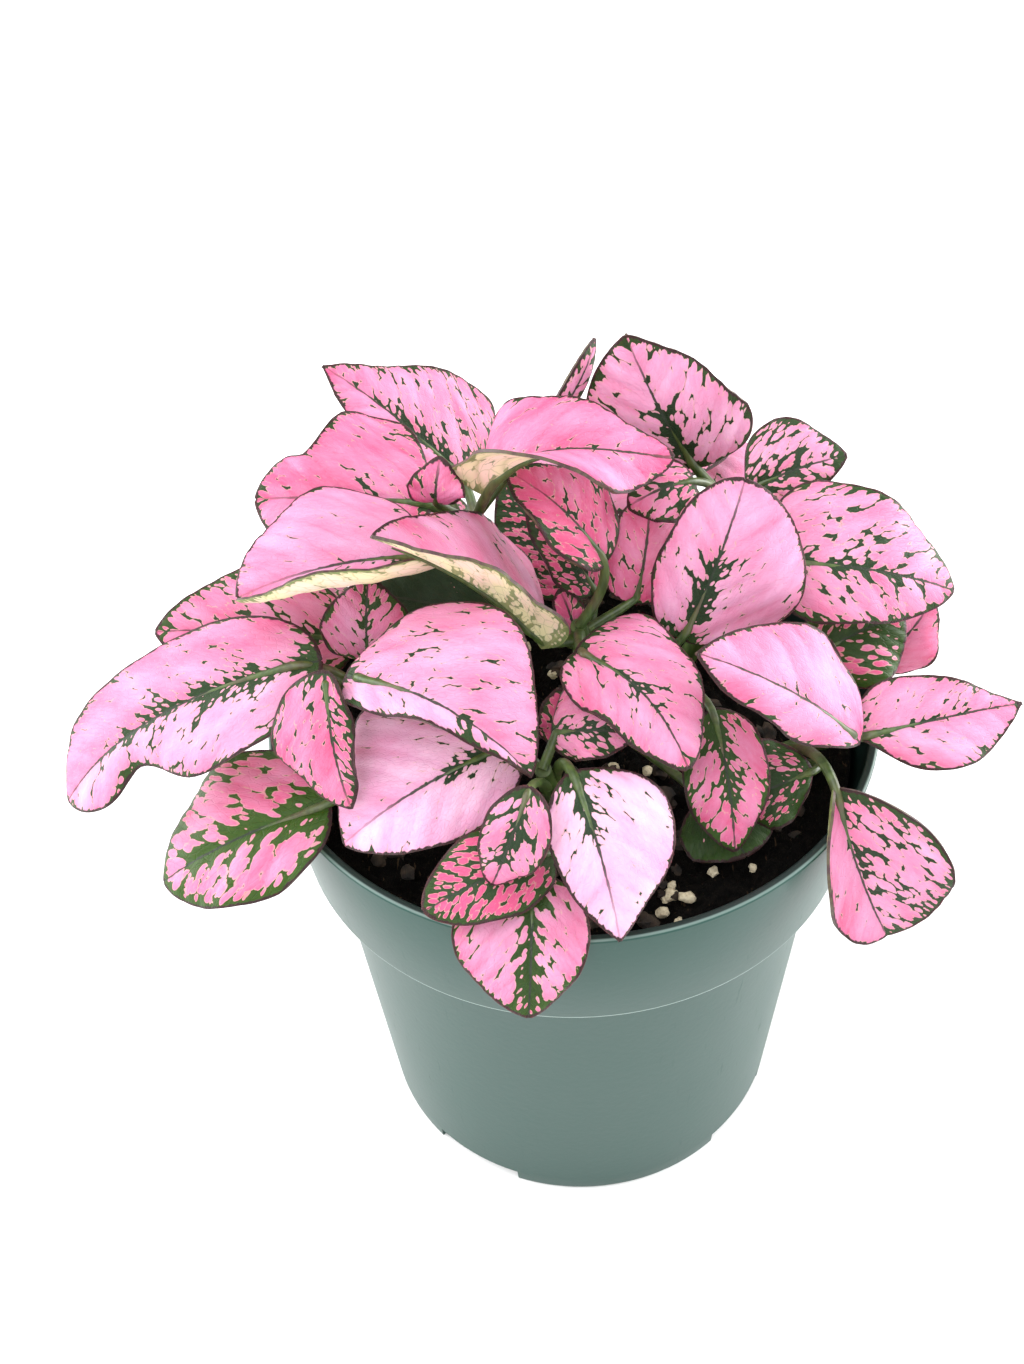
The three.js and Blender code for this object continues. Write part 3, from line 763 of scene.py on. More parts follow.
leaves = [
    leaf("01_top_left", "back_left", 0.82, (-7.7, 9.1, 62.9), (-18.3, 13.6, 71.5), (0.3, -0.45, 0.85),
         width=12.5, arch=1, peak=(0.28, 0.2), blunt=1, skew=0.3, tone=0.4, spots=(0.1, 0.6), blotch=0.7,
         reach=0.75),
    leaf("02_left_wavy", "back_left", 0.76, (-10.3, 2.6, 65.5), (-23.4, 2.6, 66.9), (0, -0.5, 0.8),
         width=14.2, arch=1, peak=0.38, blunt=0.6, skew=0.1, dentR=(-0.42, 0.72), wave=1.2, waves=1.6,
         tone=0.6, reach=0.7),
    leaf("03_left_big", "back_left", 0.7, (-9.9, -3.9, 65.5), (-24.1, -7.4, 65.6), (-0.1, -0.3, 0.95),
         width=13, arch=1.6, blunt=0.6, skew=0.15, foldL=-10, foldR=10, curlL=115, tone=0.15, spots=0.1,
         blotch=(0.7, 0.1), reach=0.6),
    leaf("04_top_middle", "back_left", 0.86, (-5.9, -1.7, 69.1), (7.6, -3, 72.3), (0, -0.4, 0.92),
         width=11.2, arch=4, late=-0.4, peak=(0.14, 0.2), blunt=0.6, skew=-0.05, foldR=(115, -45), curlR=10,
         dentR=(-0.45, 0.12), tone=0.6, spots=0.15, blotch=0.3),
    leaf("05_middle_cupped", "middle", 0.9, (-2.2, -6, 57.9), (-13.8, -9, 71.6), (-0.2, -0.2, 1), width=12,
         peak=(0.4, 0.22), skew=0.32, foldL=(65, 55), foldR=15, curlL=0, blotch=0.6, reach=0.8),
    leaf("06_middle_upright", "middle", 0.7, (8.2, -6, 57.7), (12.9, -2, 69.4), (0.1, -0.8, 0.6),
         width=11.5, peak=(0.48, 0.45), blunt=0.5, skew=0.25, tone=0.1, spots=0.15, blotch=1, reach=0.8),
    leaf("07_right_middle", "right", 0.86, (20.9, -13, 52.6), (8, -14, 63.6), (0.3, -0.4, 0.9), width=8.6,
         peak=(0.5, 0.42), blunt=0.85, skew=0.28, foldR=20, curlL=-60, lead=0.05, spots=0.15, blotch=0.25),
    leaf("08_top_right", "back_right", 1, (10.3, 4.2, 66.2), (4.8, 4.2, 78.2), (-0.45, -0.8, 0.6),
         width=11.7, arch=1, peak=(0.5, 0.3), blunt=0.8, skew=0.01, tone=-0.1, spots=0.5, blotch=0.85,
         reach=0.75, rim=0.2, fine=1.3),
    leaf("09_right_back_small", "back_right", 0.95, (14.9, 6.5, 62), (22.4, 6, 65.2), (0.1, -0.6, 0.8),
         width=7.2, skew=-0.3, tone=0.2, spots=0.7, blotch=0.6, reach=0.8, rim=0.3, fine=1.5),
    leaf("10_right_spotted", "back_right", 0.85, (14.8, -2.5, 62.1), (29.7, -2.5, 58), (0.1, -0.5, 0.85),
         width=12, peak=0.36, blunt=0.6, skew=-0.25, foldR=-10, tone=0.35, spots=0.65, reach=1, rim=0.25,
         olive=0.1, fine=1.25),
    leaf("11_right_shaded", "right", 0.7, (18.6, -3.5, 52.4), (26.4, -1.5, 55), (0.1, -0.5, 0.85), width=9,
         peak=0.5, old=True, tone=0.8, spots=0.8, blotch=0.7, reach=1, rim=0.7, olive=0.4, fine=1.1),
    leaf("12_right_behind", "right", 0.6, (24.6, -1.6, 49.8), (29.3, 0.6, 54.6), (0.2, -0.7, 0.7),
         width=6.4, tone=0.5, spots=0.05, blotch=0.1, reach=0.7),
    leaf("13_right_pointed", "right", 1, (21.3, -11, 51), (34.3, -9, 51.7), (0.1, -0.5, 0.85), width=8.2,
         arch=1, peak=(0.3, 0.5), blunt=1.1, tone=0.2, blotch=0.4, rim=0.15),
    leaf("14_right_hanging", "right", 0.6, (18.8, -15.4, 50.4), (23.4, -19.3, 37.2), (0, -0.85, 0.5),
         width=10.6, arch=0.8, sway=0.5, peak=(0.57, 0.55), blunt=0.5, skew=-0.27, foldL=16, foldR=10,
         curlL=0, curlR=(100, 0), lead=0.5, old=True, spots=(0.95, 0.1), blotch=(0.4, 0.2), fine=1.35),
    leaf("15_right_dark", "right", 0.3, (18, -11.7, 48.4), (12, -13, 46.9), (0.1, -0.6, 0.8), width=7,
         arch=0.8, peak=(0.62, 0.5), blunt=0.6, skew=0.1, old=True, tone=0.8, spots=0.9, rim=0.4, olive=0.2),
    leaf("16_front_right_low", "middle", 0.47, (10.2, -9.5, 53.7), (11.1, -17.7, 46.6), (0.1, -0.8, 0.5),
         width=6.9, peak=(0.4, 0.5), tone=0.6, spots=0.25, blotch=0.8, rim=(0.25, 0.7), olive=0.4),
    leaf("17_low_green", "middle", 0.3, (9.8, -11.1, 45.2), (12.2, -16.6, 44.6), (0.1, -0.3, 0.95), width=8,
         arch=0.5, peak=0.55, blunt=0.5, old=True, tone=0.4, spots=1.4, blotch=0.8, reach=1, rim=1.2,
         olive=0.3, fine=1.1),
    leaf("18_middle_front", "middle", 0.95, (-0.2, -9.5, 60.4), (7.2, -18, 56.2), (0.3, -0.4, 0.85),
         width=10.2, arch=2, sway=-0.5, peak=(0.2, 0.36), blunt=0.6, skew=-0.22, lead=0.1, tone=0.35,
         spots=(0.4, 0.2)),
    leaf("19_centre_small", "middle", 0.68, (0.4, -3.5, 56.2), (-0.8, -2, 60.2), (0.2, -0.8, 0.6),
         width=2.8, arch=0.5, tone=0.6, spots=0.25, blotch=0.4, reach=0.7),
    leaf("20_middle_folded", "middle", 1, (2.6, -4, 64), (-4.3, 0, 69.9), (0.3, -0.5, 0.8), width=7.5,
         peak=0.4, skew=0.2, foldL=20, curlL=-20, tone=0.9, spots=(0.5, 0.6), blotch=0.3, reach=0.6),
    leaf("21_middle_narrow", "middle", 0.93, (4.9, -3, 59), (6.4, 1.4, 66.4), (0.1, -0.8, 0.6), width=6.6,
         lead=0.1, tone=0.6, blotch=0.2, reach=0.7),
    leaf("22_top_small", "back_right", 0.76, (9.6, 0.2, 67.9), (4.6, -0.7, 66.5), (0, -0.6, 0.8), width=5.5,
         tone=0.4, spots=0.5, blotch=0.3, reach=0.7),
    leaf("23_middle_dark", "middle", 0.76, (2, -1.6, 59.2), (-3, 0, 66.4), (0.1, -0.6, 0.8), width=4.5,
         old=True, tone=0.9, spots=0.6, blotch=0.4, reach=0.7),
    leaf("24_left_long", "left", 0.9, (-18.7, -9, 60.6), (-40.8, -8, 46.3), (-0.1, -0.5, 0.85), width=11.5,
         arch=3, sway=1.2, blunt=0.58, dentL=(-0.55, 0.66), wave=0.8, waves=1.2, tone=(0.05, 0.45),
         spots=(0.5, 0.3), blotch=0.85, olive=0.2),
    leaf("25_left_spotted", "left", 0.78, (-17, -2, 56), (-32.2, -2, 58.3), (-0.1, -0.5, 0.85), width=10.5,
         skew=0.1, tone=0.45, spots=(0.4, 0.7), blotch=0.4, reach=0.8, rim=0.2, olive=0.3, fine=1.4),
    leaf("26_left_inner", "left", 0.85, (-15.6, -6, 57.6), (-15, -4, 64.1), (0, -0.8, 0.6), width=7.2,
         tone=0.4, spots=0.4, blotch=0.4, reach=1, olive=0.3),
    leaf("28_front_left_big", "left", 1, (-16.8, -11.6, 61.3), (-3.9, -18.8, 57.3), (0.1, -0.4, 0.9),
         width=10.8, arch=4, late=0.1, peak=(0.46, 0.15), skew=-0.6, foldL=14, foldR=(-20, 30), lead=0,
         tone=(0.25, -0.3), spots=(0.45, 0.2), blotch=0.3),
    leaf("29_left_drooping", "left", 0.86, (-18, -12, 62.3), (-17, -17, 53.2), (-0.3, -0.8, 0.5), width=6.6,
         arch=1, skew=0.5, lead=0, tone=0.6, spots=0.45, blotch=0.3, reach=0.8, rim=0.2),
    leaf("30_front_left_low", "front", 0.9, (-5, -14, 55.9), (-18, -17, 49.3), (-0.1, -0.5, 0.85),
         width=12.6, arch=2.5, peak=(0.36, 0.5), skew=0.25, tone=(-0.4, -0.15), spots=0.12, blotch=0.8,
         reach=0.6),
    leaf("31_left_old", "left", 0.6, (-19.3, -13, 49.4), (-33.5, -13, 41.5), (-0.2, -0.4, 0.9), width=12.5,
         blunt=0.65, skew=0.15, old=True, tone=0.6, spots=0.6, blotch=1, reach=1, rim=0.6, olive=1,
         fine=0.95),
    leaf("32_front_small", "front", 0.7, (-4.1, -21.3, 59), (-7.1, -24, 52.2), (0, -0.8, 0.6), width=4.9,
         skew=-0.1, lead=0.15, spots=0.25, blotch=0.6),
    leaf("33_front_dark", "front", 0.4, (-2.8, -20.4, 51), (-12, -24.6, 50.4), (0, -0.5, 0.85), width=6.8,
         blunt=0.6, skew=0.05, old=True, tone=1.3, spots=0.7, blotch=0.7, rim=0.4, olive=0.2),
    leaf("34_over_rim", "front", 0.5, (-4.2, -21.4, 50.1), (-5.1, -29, 43.2), (0, -0.8, 0.6), width=10,
         skew=0.15, old=True, spots=0.2, blotch=0.9, reach=1.1, rim=0.3, olive=0.5, fine=1.3),
    leaf("35_front_bright", "front", 0.62, (-1, -18, 56.7), (1.6, -26.5, 48.1), (0.2, -0.7, 0.7), width=9.6,
         peak=(0.36, 0.4), blunt=0.95, skew=-0.3, tone=-0.6, spots=0.12, blotch=0.9, reach=0.6),
    leaf("36_front_bud", "front", 1, (-2.2, -13.2, 55.8), (4, -14.8, 56.8), (0.1, -0.6, 0.8), width=6.4,
         skew=-0.3, lead=0, spots=0.35),
    leaf("37_middle_shaded", "middle", 0.4, (-0.3, -11, 52.5), (-1.5, -10, 57.3), (0, -0.8, 0.6), width=5,
         arch=0.5, tone=0.9, spots=0.5, blotch=0.4, reach=0.7),
    leaf("39_right_folded", "right", 0.92, (19.4, -8.6, 53.2), (19.5, -6, 56.8), (-0.5, -0.6, 0.6),
         width=3.5, foldL=30, foldR=30, old=True, tone=0.5, spots=0.6, blotch=0.4, reach=0.7),
    leaf("40_top_sliver", "back_left", 0.94, (-0.8, 3, 72), (2.7, 6, 77), (0.8, -0.3, 0.4), width=2.6,
         arch=0.5, wave=0, tone=0, spots=0.4, blotch=0.4, reach=0.7),
    leaf("41_left_small", "back_left", 1, (-9.6, -1.4, 68.6), (-9, -1, 72.3), (0, -0.8, 0.6), width=4.4,
         tone=0.4, spots=0.05, blotch=0.1, reach=0.7),
    leaf("42_back_shaded", "back", 0.8, (2.1, 6, 53.6), (-4.8, 9, 62.3), (0, -0.6, 0.8), width=9, arch=1,
         old=True, tone=1, spots=1, blotch=0.7, reach=1),
    # Its flecks run into one dark green all over: painted shade for the dark hollow under the leaves above it
    leaf("43_left_inner_low", "middle", 0.8, (-5.2, -2.2, 57.6), (-17, 0.5, 59.2), (-0.1, -0.6, 0.8),
         width=8, arch=1, old=True, tone=1, spots=2.2, blotch=1, reach=1.2),
    # The hidden back, in the habit of the front
    leaf("51_back_right", "back_right", 0.68, (17, 7, 56), (31, 15.5, 49.6), (0.2, 0.1, 1), width=11,
         tone=0.2, spots=0.4, reach=0.6),
    leaf("52_back_right_inner", "back_right", 0.75, (15, 9, 59), (21.5, 25, 53), (0.1, 0.2, 1), width=12,
         tone=0.35, blotch=0.4, reach=0.5),
    leaf("53_back_middle", "back_right", 0.8, (10, 9, 62), (8, 25, 57), (0, 0.2, 1), width=11.5, tone=0.15,
         spots=0.2, reach=0.6),
    leaf("54_back", "back", 1, (-1, 16, 57), (-4.5, 29.5, 51.5), (0, 0.3, 1), width=11.5, spots=0.5,
         reach=0.8, rim=0.2, fine=1.3),
    leaf("55_back_left_inner", "back_left", 0.64, (-9, 8, 62), (-15, 23, 56), (-0.1, 0.2, 1), width=11.5,
         tone=0.25, spots=0.15, blotch=0.3, reach=0.5),
    leaf("56_back_left", "back_left", 0.58, (-12, 6, 58), (-26.6, 13.4, 54), (-0.1, 0.1, 1), width=11.5,
         tone=0.4, spots=0.5, blotch=0.4, reach=0.8, rim=0.2),
    leaf("57_back_right_low", "back", 0.7, (13, 16, 50), (24, 25, 42), (0.3, 0.4, 0.9), width=12, arch=2.5,
         tone=0.5, spots=0.5, rim=0.5, olive=0.8, fine=1.2),
    leaf("58_back_low", "back", 0.85, (3, 19, 51), (6, 32, 44), (0.1, 0.5, 0.8), width=12, arch=2.5,
         reach=0.7),
    leaf("59_back_left_low", "back", 0.6, (-10, 18, 50), (-18, 29, 43), (-0.2, 0.4, 0.9), width=12,
         arch=2.5, tone=0.45, spots=0.55, reach=1, rim=0.4, olive=0.6, fine=1.3),
    leaf("60_left_low", "back_left", 0.48, (-19, 9, 50), (-31, 14, 44), (-0.3, 0.3, 0.9), width=12, arch=2,
         tone=0.5, spots=0.6, rim=0.6, olive=0.9, fine=1.2),
]
print("leaves:", len(leaves))

# %% [markdown]
# ### The shape of a blade
# The blade is a grid that is bent in code. Blender's own bend tool needs a window, and a lattice can't keep
# a margin's width, so each vertex is moved by the same sums as in the CAD: it goes along the bowed midrib,
# out to the side on an arc, and up or down with the ripple of the margin. The fine grid adds what the plain
# solid leaves out: the sunk midrib, side veins that lie in furrows, and the puffed skin between them.

# %% Outline and bend
dent_length = 0.13
least_half_width = 0.12


def pair(value):
    """A single value stands for both."""
    return value if isinstance(value, tuple) else (value, value)


def by_side(right, value):
    """The left value where right is False, the right value where it is True."""
    left_value, right_value = pair(value)
    return np.where(right, right_value, left_value)


def between(right, ends_left, ends_right, u):
    """A value that runs from its base end to its tip end, given for each side."""
    start, end = (by_side(right, ends) for ends in zip(pair(ends_left), pair(ends_right)))
    return start + (end - start) * u


def midrib(row, u):
    """Points of the midrib in mm; u runs from 0 at the base of the blade to 1 at its tip."""
    u = np.asarray(u, float)[..., None]
    bow = 4 * u * (1 - u)
    arch = row.face * row.arch * bow * (1 + row.late * (2 * u - 1))
    return row.base + row.chord * u + arch + row.side * row.sway * bow


def half_width(row, u, right):
    """From the midrib to the margin in mm, on either side."""
    peak = by_side(right, row.peak)
    base_power = row.blunt * peak / (1 - peak)
    inside = np.clip(u, 1e-9, 1 - 1e-9)
    shape = (inside / peak) ** base_power * ((1 - inside) / (1 - peak)) ** row.blunt
    dent_size, dent_place = (by_side(right, ends) for ends in zip(row.dentL, row.dentR))
    bite = 1 + dent_size * np.exp(-(((u - dent_place) / dent_length) ** 2))
    lean = by_side(right, (1 - row.skew, 1 + row.skew))
    return np.maximum(row.width / 2 * shape * bite * lean, least_half_width)

# %% Veins on the flat leaf
vein_pairs = 6.5
vein_slope = 0.85
vein_bend = 0.035
puff_height, puff_sharpness, puff_sunk, flatter_at_margin = 0.32, 0.8, 0.55, 0.55
furrow_depth, furrow_width = 0.22, 0.5
full_relief_width = 12


def vein_count(row, across, up_leaf):
    """Which side vein a point lies on: a whole number on a vein, a half between two. Both distances in mm."""
    spacing = row.length / vein_pairs
    out = np.abs(across)
    return (up_leaf - vein_slope * out - vein_bend * out ** 2) / spacing, spacing


def relief(row):
    """A small leaf has lower puffs and shallower furrows."""
    return min(1.0, row.width / full_relief_width)


def skin_height(row, q, across, up_leaf, u):
    """How far the upper skin stands above the plain blade in mm: puffed between veins, sunk at the midrib."""
    count, spacing = vein_count(row, across, up_leaf)
    puff = np.abs(np.sin(math.pi * count)) ** puff_sharpness - puff_sunk
    swell = np.sqrt(q) * (1 - flatter_at_margin * q ** 2) * np.clip(8 * u * (1 - u), 0, 1)
    furrow = np.exp(-((across / furrow_width) ** 2)) * np.clip(1 - u, 0, 1) ** 0.5
    return relief(row) * (puff_height * puff * swell - furrow_depth * furrow)

# %% Bend a grid to a leaf
nudge = 1e-3
least_curl = 1e-3
outline_steps = 90


def blade_places(row, u, v):
    """Places of the blade's grid in mm, with the flat distances that the veins and the colours follow."""
    right = v >= 0
    q = np.abs(v)
    rib = units(midrib(row, np.minimum(u + nudge, 1)) - midrib(row, np.maximum(u - nudge, 0)))
    up = units(row.face - rib * (rib @ row.face)[:, None])
    across = np.cross(rib, up)
    half = half_width(row, u, right)
    fold = np.radians(between(right, row.foldL, row.foldR, u))
    curl = np.radians(between(right, row.curlL, row.curlR, u))
    curl = np.where(np.abs(curl) < least_curl, least_curl, curl)
    out = (np.sin(fold + curl * q) - np.sin(fold)) / curl
    rise = (np.cos(fold) - np.cos(fold + curl * q)) / curl
    beat = 2 * math.pi * (row.waves * u + by_side(right, (0, 0.25)))
    ripple = row.wave * q * q * np.sin(beat) * np.minimum(1, 6 * u * (1 - u))
    flat_across = v * half
    flat_along = u * row.length
    height = rise * half + ripple + skin_height(row, q, flat_across, flat_along, u)
    places = midrib(row, u) + across * (np.sign(v) * out * half)[:, None] + up * height[:, None]
    return places, flat_across, flat_along


def margin_distance(row, flat_across, flat_along):
    """Distance from each point of the flat leaf to its margin in mm."""
    u = 0.5 - 0.5 * np.cos(np.linspace(0, math.pi, outline_steps))
    left = np.stack([-half_width(row, u, np.zeros_like(u, bool)), u * row.length], 1)
    right = np.stack([half_width(row, u, np.ones_like(u, bool)), u * row.length], 1)
    start = np.concatenate([left, right[::-1]])
    side = np.roll(start, -1, axis=0) - start
    point = np.stack([flat_across, flat_along], 1)[:, None, :]
    share = ((point - start) * side).sum(2) / np.maximum((side ** 2).sum(1), 1e-12)
    nearest = start + side * np.clip(share, 0, 1)[:, :, None]
    return np.sqrt(((point - nearest) ** 2).sum(2)).min(1)

# %% Grid blanks, a fine one for the large leaves
def grid_blank(name, cells_across, cells_along):
    """A flat square grid: x is across the leaf, y along it."""
    clear_selection()
    bpy.ops.mesh.primitive_grid_add(x_subdivisions=cells_across, y_subdivisions=cells_along, size=2,
                                    calc_uvs=False)
    return name_new(name)


large_blank = grid_blank("large_blade_blank", 40, 60)
small_blank = grid_blank("small_blade_blank", 24, 36)
large_from_width = 7.0
blade_thickness = 0.24
# How far each leaf's part of the chart lies from that of the one before
chart_step_across, chart_step_along = 50, 30


def write_value(mesh, name, values):
    """One number at each vertex, for the material to read."""
    mesh.attributes.new(name, "FLOAT", "POINT").data.foreach_set("value", values.astype(np.float32))


def blade(row, number):
    """One blade, with its own part of the chart and the values that its colours follow."""
    blank = large_blank if row.width >= large_from_width else small_blank
    piece = copy_of(blank, row.name + "_grown")
    mesh = piece.data
    flat = corners(mesh)
    u = 0.5 - 0.5 * np.cos(math.pi * (flat[:, 1] + 1) / 2)
    v = flat[:, 0]
    places, across, up_leaf = blade_places(row, u, v)
    put_corners(mesh, places * mm)
    count, spacing = vein_count(row, across, up_leaf)
    lean = 1 / math.hypot(1, vein_slope)
    write_value(mesh, "margin_mm", margin_distance(row, across, up_leaf))
    write_value(mesh, "midrib_mm", np.abs(across))
    write_value(mesh, "vein_mm", np.abs(count - np.rint(count)) * spacing * lean)
    write_value(mesh, "along", u)
    for value in ("tone", "spots", "blotch", "reach", "rim", "olive", "fine"):
        write_value(mesh, value, by_side(v >= 0, getattr(row, value)).astype(float))
    chart = np.stack([across / lean + chart_step_across * number,
                      count * spacing * lean + chart_step_along * number], 1)
    loops = np.empty(len(mesh.loops), int)
    mesh.loops.foreach_get("vertex_index", loops)
    mesh.uv_layers.new(name="leaf_chart").data.foreach_set("uv", chart[loops].astype(np.float32).ravel())
    return piece

# %% [markdown]
# ### Stalk and midrib
# The stalk is the same tube blank as the stems. It leaves its stem, meets the blade and runs on along its
# underside as the midrib, getting thinner all the way, as the real one does. On the upper side only a fine
# ridge shows.

# %% Stalk
stalk_radius, radius_at_blade, radius_under_blade, radius_at_tip = 0.46, 0.8, 0.75, 0.07
meets_blade, heads_along_blade, ends_on_blade = 0.08, 0.12, 0.9
rings_on_blade = 14
sunk_at_blade, sunk_at_tip = 0.05, 0.2
slimmest, slim_width = 0.55, 20


def stalk(row):
    """From the stem to the blade, and on under it nearly to the tip."""
    start = stem_point(stems[row.stem], row.at)
    end = midrib(row, meets_blade)
    heading = midrib(row, heads_along_blade) - midrib(row, 0)
    heading /= np.linalg.norm(heading)
    control = end - heading * row.lead * np.linalg.norm(end - start)
    t = np.linspace(0, 1, tube_rings + 1 - rings_on_blade)[:, None]
    first = start * (1 - t) ** 2 + control * 2 * t * (1 - t) + end * t ** 2
    u = np.linspace(meets_blade, ends_on_blade, rings_on_blade + 1)[1:]
    sink = np.linspace(sunk_at_blade, sunk_at_tip, rings_on_blade)[:, None]
    second = midrib(row, u) - row.face * (sink + furrow_depth * relief(row))
    slim = min(1.0, slimmest + row.width / slim_width)
    radii = np.concatenate([np.linspace(stalk_radius, stalk_radius * radius_at_blade, len(first)),
                            np.linspace(stalk_radius * radius_under_blade, radius_at_tip, rings_on_blade)])
    return tube(row.name + "_stalk", np.concatenate([first, second]), radii * slim, row.side)

# %% [markdown]
# ### The colours of a leaf
# The plant is green, and splashes without chlorophyll show as pink. On this kind the splashes are so many
# that they run into each other, and the green is left over between them as dark flecks with hollow sides.
# The material does the same: it scatters dots along the veins, paints everything within reach of a dot
# pink, and shortens that reach near the midrib, the veins and the margin. A painted image could hold one
# exact leaf, but here some fifty leaves that all differ come out of one calculation.

# %% Splashes and the green between them
splash_size, splash_shake = (1.0, 0.66), 0.65
usual_reach = 1.10
less_for_spots, less_in_patches = 0.42, 1.5
less_on_leafy_rim, less_on_spotted_rim, less_on_rim = 1.2, 0.12, 0.85


def leaf_values(tree, *names):
    """Values that the blade carries."""
    return [from_node(tree, "Attribute", "Fac", attribute_name=name) for name in names]


def fading(distance, width):
    """1 at the line, falling off over the width."""
    return calc("EXPONENT", distance / -width)


def shaken_chart(tree, across, along, shake):
    """The leaf's chart in steps as fine as the leaf says, shaken so that nothing runs straight."""
    [fine] = leaf_values(tree, "fine")
    plain = {0: on_leaf(tree, across, along), "Scale": fine}
    chart = from_node(tree, "VectorMath", "Vector", plain, operation="SCALE")
    wobble = from_node(tree, "TexNoise", "Color", {"Vector": chart, "Scale": 1.1})
    shaken = {0: wobble, 1: (shake, shake, 0), 2: chart}
    return from_node(tree, "VectorMath", "Vector", shaken, operation="MULTIPLY_ADD")


def green_left_over(tree):
    """Above 0 where no pink splash reaches: the distance to the nearest dot, less the splash's reach."""
    margin, rib, vein, along = leaf_values(tree, "margin_mm", "midrib_mm", "vein_mm", "along")
    spots, blotch, rim, blotch_end = leaf_values(tree, "spots", "blotch", "rim", "reach")
    patch = cloud(on_leaf(tree, 2.8, 1.9))
    base_blotch = blotch * step_up(blotch_end - along, 0.0, 0.35)
    near_rib = fading(rib, 0.25 + base_blotch * 0.6)
    forks = fading(vein, 0.30) * (0.15 + spots * 0.25 + base_blotch * fading(rib, 1.8) * 0.7)
    near_margin = fading(margin, 0.15 + rim * 0.6)
    reach = (usual_reach - spots * less_for_spots - (patch - 0.5) * less_in_patches
             - near_rib * base_blotch - forks - near_margin * rim * less_on_leafy_rim
             - fading(margin, 0.9) * spots * less_on_spotted_rim - fading(margin, 0.26) * less_on_rim)
    return dots(shaken_chart(tree, *splash_size, splash_shake)) - reach


def dark_threads(tree):
    """The dark thread along the margin and the one along the midrib."""
    margin, rib, along = leaf_values(tree, "margin_mm", "midrib_mm", "along")
    ragged = (cloud(on_leaf(tree, 0.5, 0.5)) - 0.5) * 0.45
    thread = 0.12 - along * 0.07
    return 1 - step_up(margin + ragged, 0.15, 0.24), 1 - step_up(rib + ragged * 0.5, thread, thread + 0.06)

# %% [markdown]
# The pink is deeper towards the margin and along the veins, and washes out in broad patches. A cream halo
# runs round every fleck. The flecks are slate green, or leaf green on an old leaf and near the margin, and
# a thin dark thread follows the margin and the midrib. A leaf is thin flesh, so light that enters on one
# side leaves on the other.

# %% Upper face
usual_pink, rich_pink, pale_pink = (0.64, 0.29, 0.46), (0.56, 0.085, 0.20), (0.82, 0.55, 0.71)
cream_halo, rib_thread, margin_thread = (0.58, 0.36, 0.30), (0.028, 0.038, 0.024), (0.030, 0.014, 0.014)
slate_greens = (0.009, 0.022, 0.010), (0.022, 0.044, 0.018)
leaf_greens = (0.018, 0.052, 0.004), (0.042, 0.090, 0.008)
thin_flesh = {"Subsurface Weight": 0.25, "Subsurface Radius": (1.0, 0.5, 0.6), "Subsurface Scale": 0.0008}


def leaf_upper_face(tree):
    margin, rib, vein, along = leaf_values(tree, "margin_mm", "midrib_mm", "vein_mm", "along")
    tone, olive, blotch_end = leaf_values(tree, "tone", "olive", "reach")
    left_over = green_left_over(tree)
    edge_line, rib_line = dark_threads(tree)
    wash = cloud(on_leaf(tree, 3.6, 2.8), 3)
    mottle = cloud(on_leaf(tree, 0.5, 0.35), 3)
    # A leaf's tone is partly painted shade: deeper on leaves that lie in shadow, paler on leaves that get
    # little light
    depth = (tone * 0.85 + (wash - 0.5) * 1.7 + (mottle - 0.5) * 0.35 + fading(vein, 0.14) * 0.2
             + fading(margin, 0.7) * 0.4 + fading(rib, 0.5) * 0.2)
    pink = blend(clamped(-depth), blend(clamped(depth), usual_pink, rich_pink), pale_pink)
    haloed = blend(step_up(left_over, -0.14, -0.01) * 0.55, pink, cream_halo)
    how_leafy = clamped(olive + fading(margin, 0.8) * 0.5)
    green = blend(how_leafy, blend(mottle, *slate_greens), blend(mottle, *leaf_greens))
    splashed = blend(step_up(left_over, 0.0, 0.05), haloed, green)
    past_blotch = step_up(along - blotch_end, -0.1, 0.3)
    ridged = blend(rib_line * (0.95 - past_blotch * 0.65), splashed, rib_thread)
    small_cells = step_up(dots(shaken_chart(tree, 0.7, 0.5, 0.3), "DISTANCE_TO_EDGE"), 0.0, 0.12)
    return {**thin_flesh, "Base Color": blend(edge_line, ridged, margin_thread),
            "Roughness": 0.36 + mottle * 0.2, "Specular IOR Level": 0.2,
            "Normal": bumps(mottle, 0.00008, 0.5, over=bumps(small_cells, 0.00004, 0.6))}

# %% [markdown]
# The underside has no splashes of full pink: it is a dusty cream where the splashes are, a dull green where
# they aren't, and a net of fine veins runs over it. The rim of the blade is the same flesh, cut thin.

# %% Underside and rim
dusty_creams = (0.84, 0.66, 0.53), (0.80, 0.74, 0.45)
dull_greens = (0.10, 0.15, 0.045), (0.20, 0.26, 0.09)
small_vein_green, vein_green = (0.40, 0.40, 0.17), (0.34, 0.36, 0.14)
rim_browns = (0.05, 0.018, 0.02), (0.08, 0.06, 0.03)


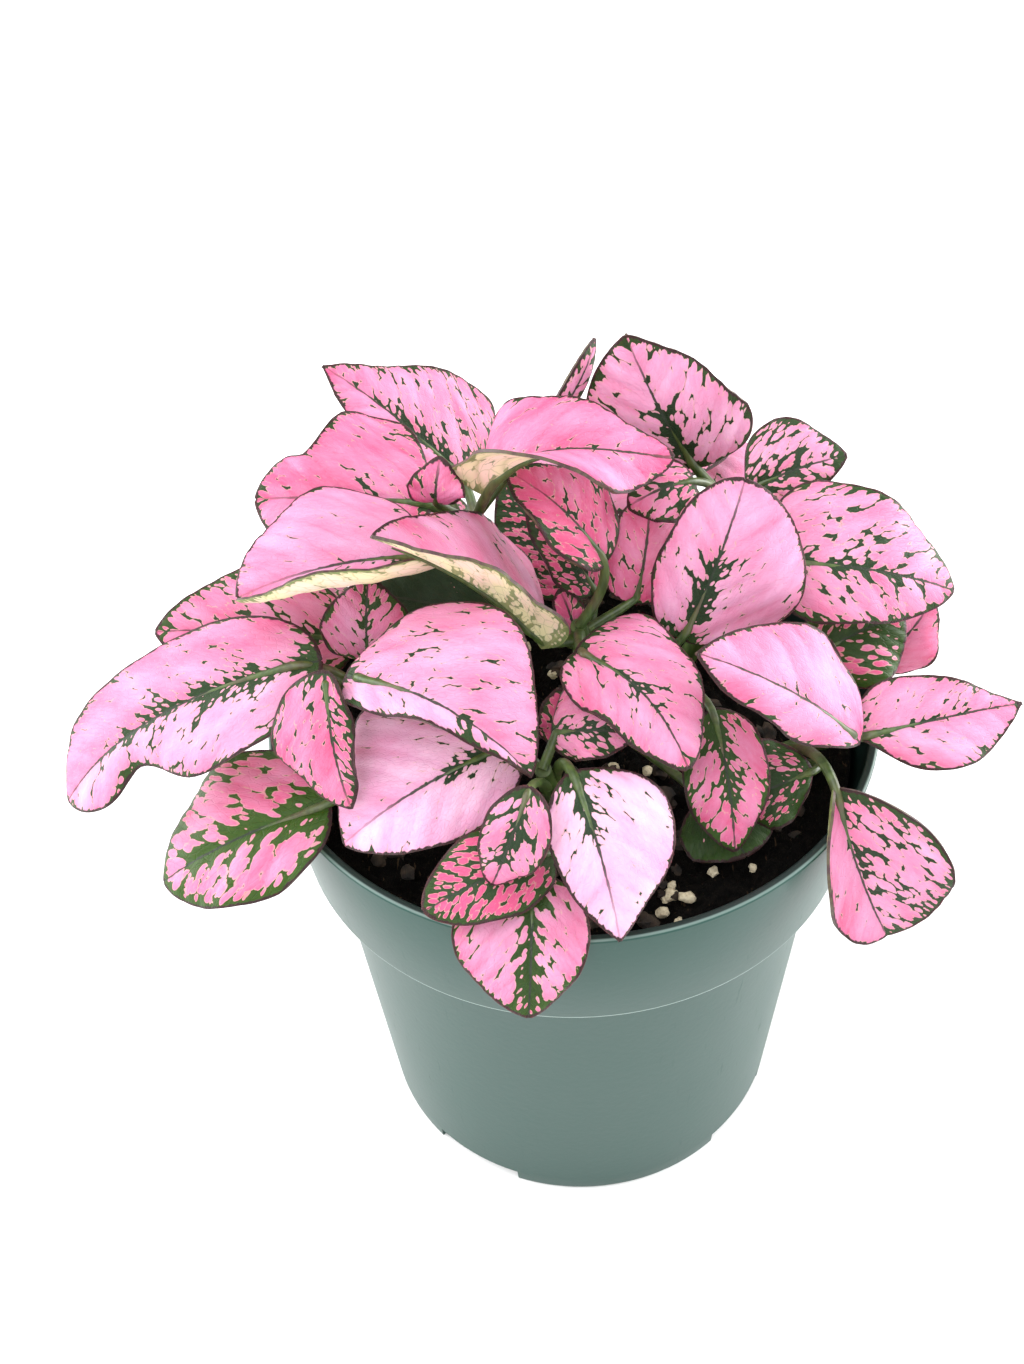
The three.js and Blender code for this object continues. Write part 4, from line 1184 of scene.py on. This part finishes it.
def leaf_underside(tree):
    margin, vein = leaf_values(tree, "margin_mm", "vein_mm")
    left_over = green_left_over(tree)
    wash = cloud(on_leaf(tree, 3.0, 2.0), 3)
    mottle = cloud(on_leaf(tree, 0.4, 0.3), 3)
    is_green = clamped(step_up(left_over + 0.22, 0.0, 0.16) * 0.85 + fading(margin, 0.25) * 0.5)
    netted = blend(is_green, blend(step_up(wash, 0.35, 0.65), *dusty_creams), blend(mottle, *dull_greens))
    to_cell_edge = dots(shaken_chart(tree, 1.7, 1.2, 0.5), "DISTANCE_TO_EDGE")
    meshed = blend((1 - step_up(to_cell_edge, 0.01, 0.07)) * 0.5, netted, small_vein_green)
    return {**thin_flesh, "Base Color": blend(fading(vein, 0.12) * 0.7, meshed, vein_green), "Roughness": 0.6,
            "Normal": bumps(1 - fading(vein, 0.15), 0.0001, 0.5)}


def leaf_rim(tree):
    mottle = cloud(on_leaf(tree, 0.5, 0.5), 3)
    return {"Base Color": blend(step_up(mottle, 0.4, 0.6), *rim_browns), "Roughness": 0.5,
            "Normal": bumps(mottle, 0.00004, 0.4)}


leaf_finishes = [material_of(finish) for finish in (leaf_upper_face, leaf_underside, leaf_rim)]

# %% [markdown]
# ### Growing every leaf
# Each blade gets its thickness from a Solidify modifier, whose second and third materials are the underside
# and the rim. Then the stalk is joined on, so that one piece stands for one CAD node.

# %% Make the leaves
triangle_count = 0
for number, row in enumerate(leaves):
    leaf_blade = blade(row, number)
    give(leaf_blade, *leaf_finishes)
    apply_modifier(leaf_blade, "SOLIDIFY", thickness=blade_thickness * mm, offset=0, material_offset=1,
                   material_offset_rim=2)
    leaf_stalk = stalk(row)
    give(leaf_stalk, stem_green)
    piece = joined(row.name + "_grown", [leaf_blade, leaf_stalk])
    smooth(piece, degrees=60)
    finish_piece(piece, row.name)
    piece.data.calc_loop_triangles()
    triangle_count += len(piece.data.loop_triangles)
for blank in (tube_blank, large_blank, small_blank):
    remove(blank)
print("leaf triangles:", triangle_count)
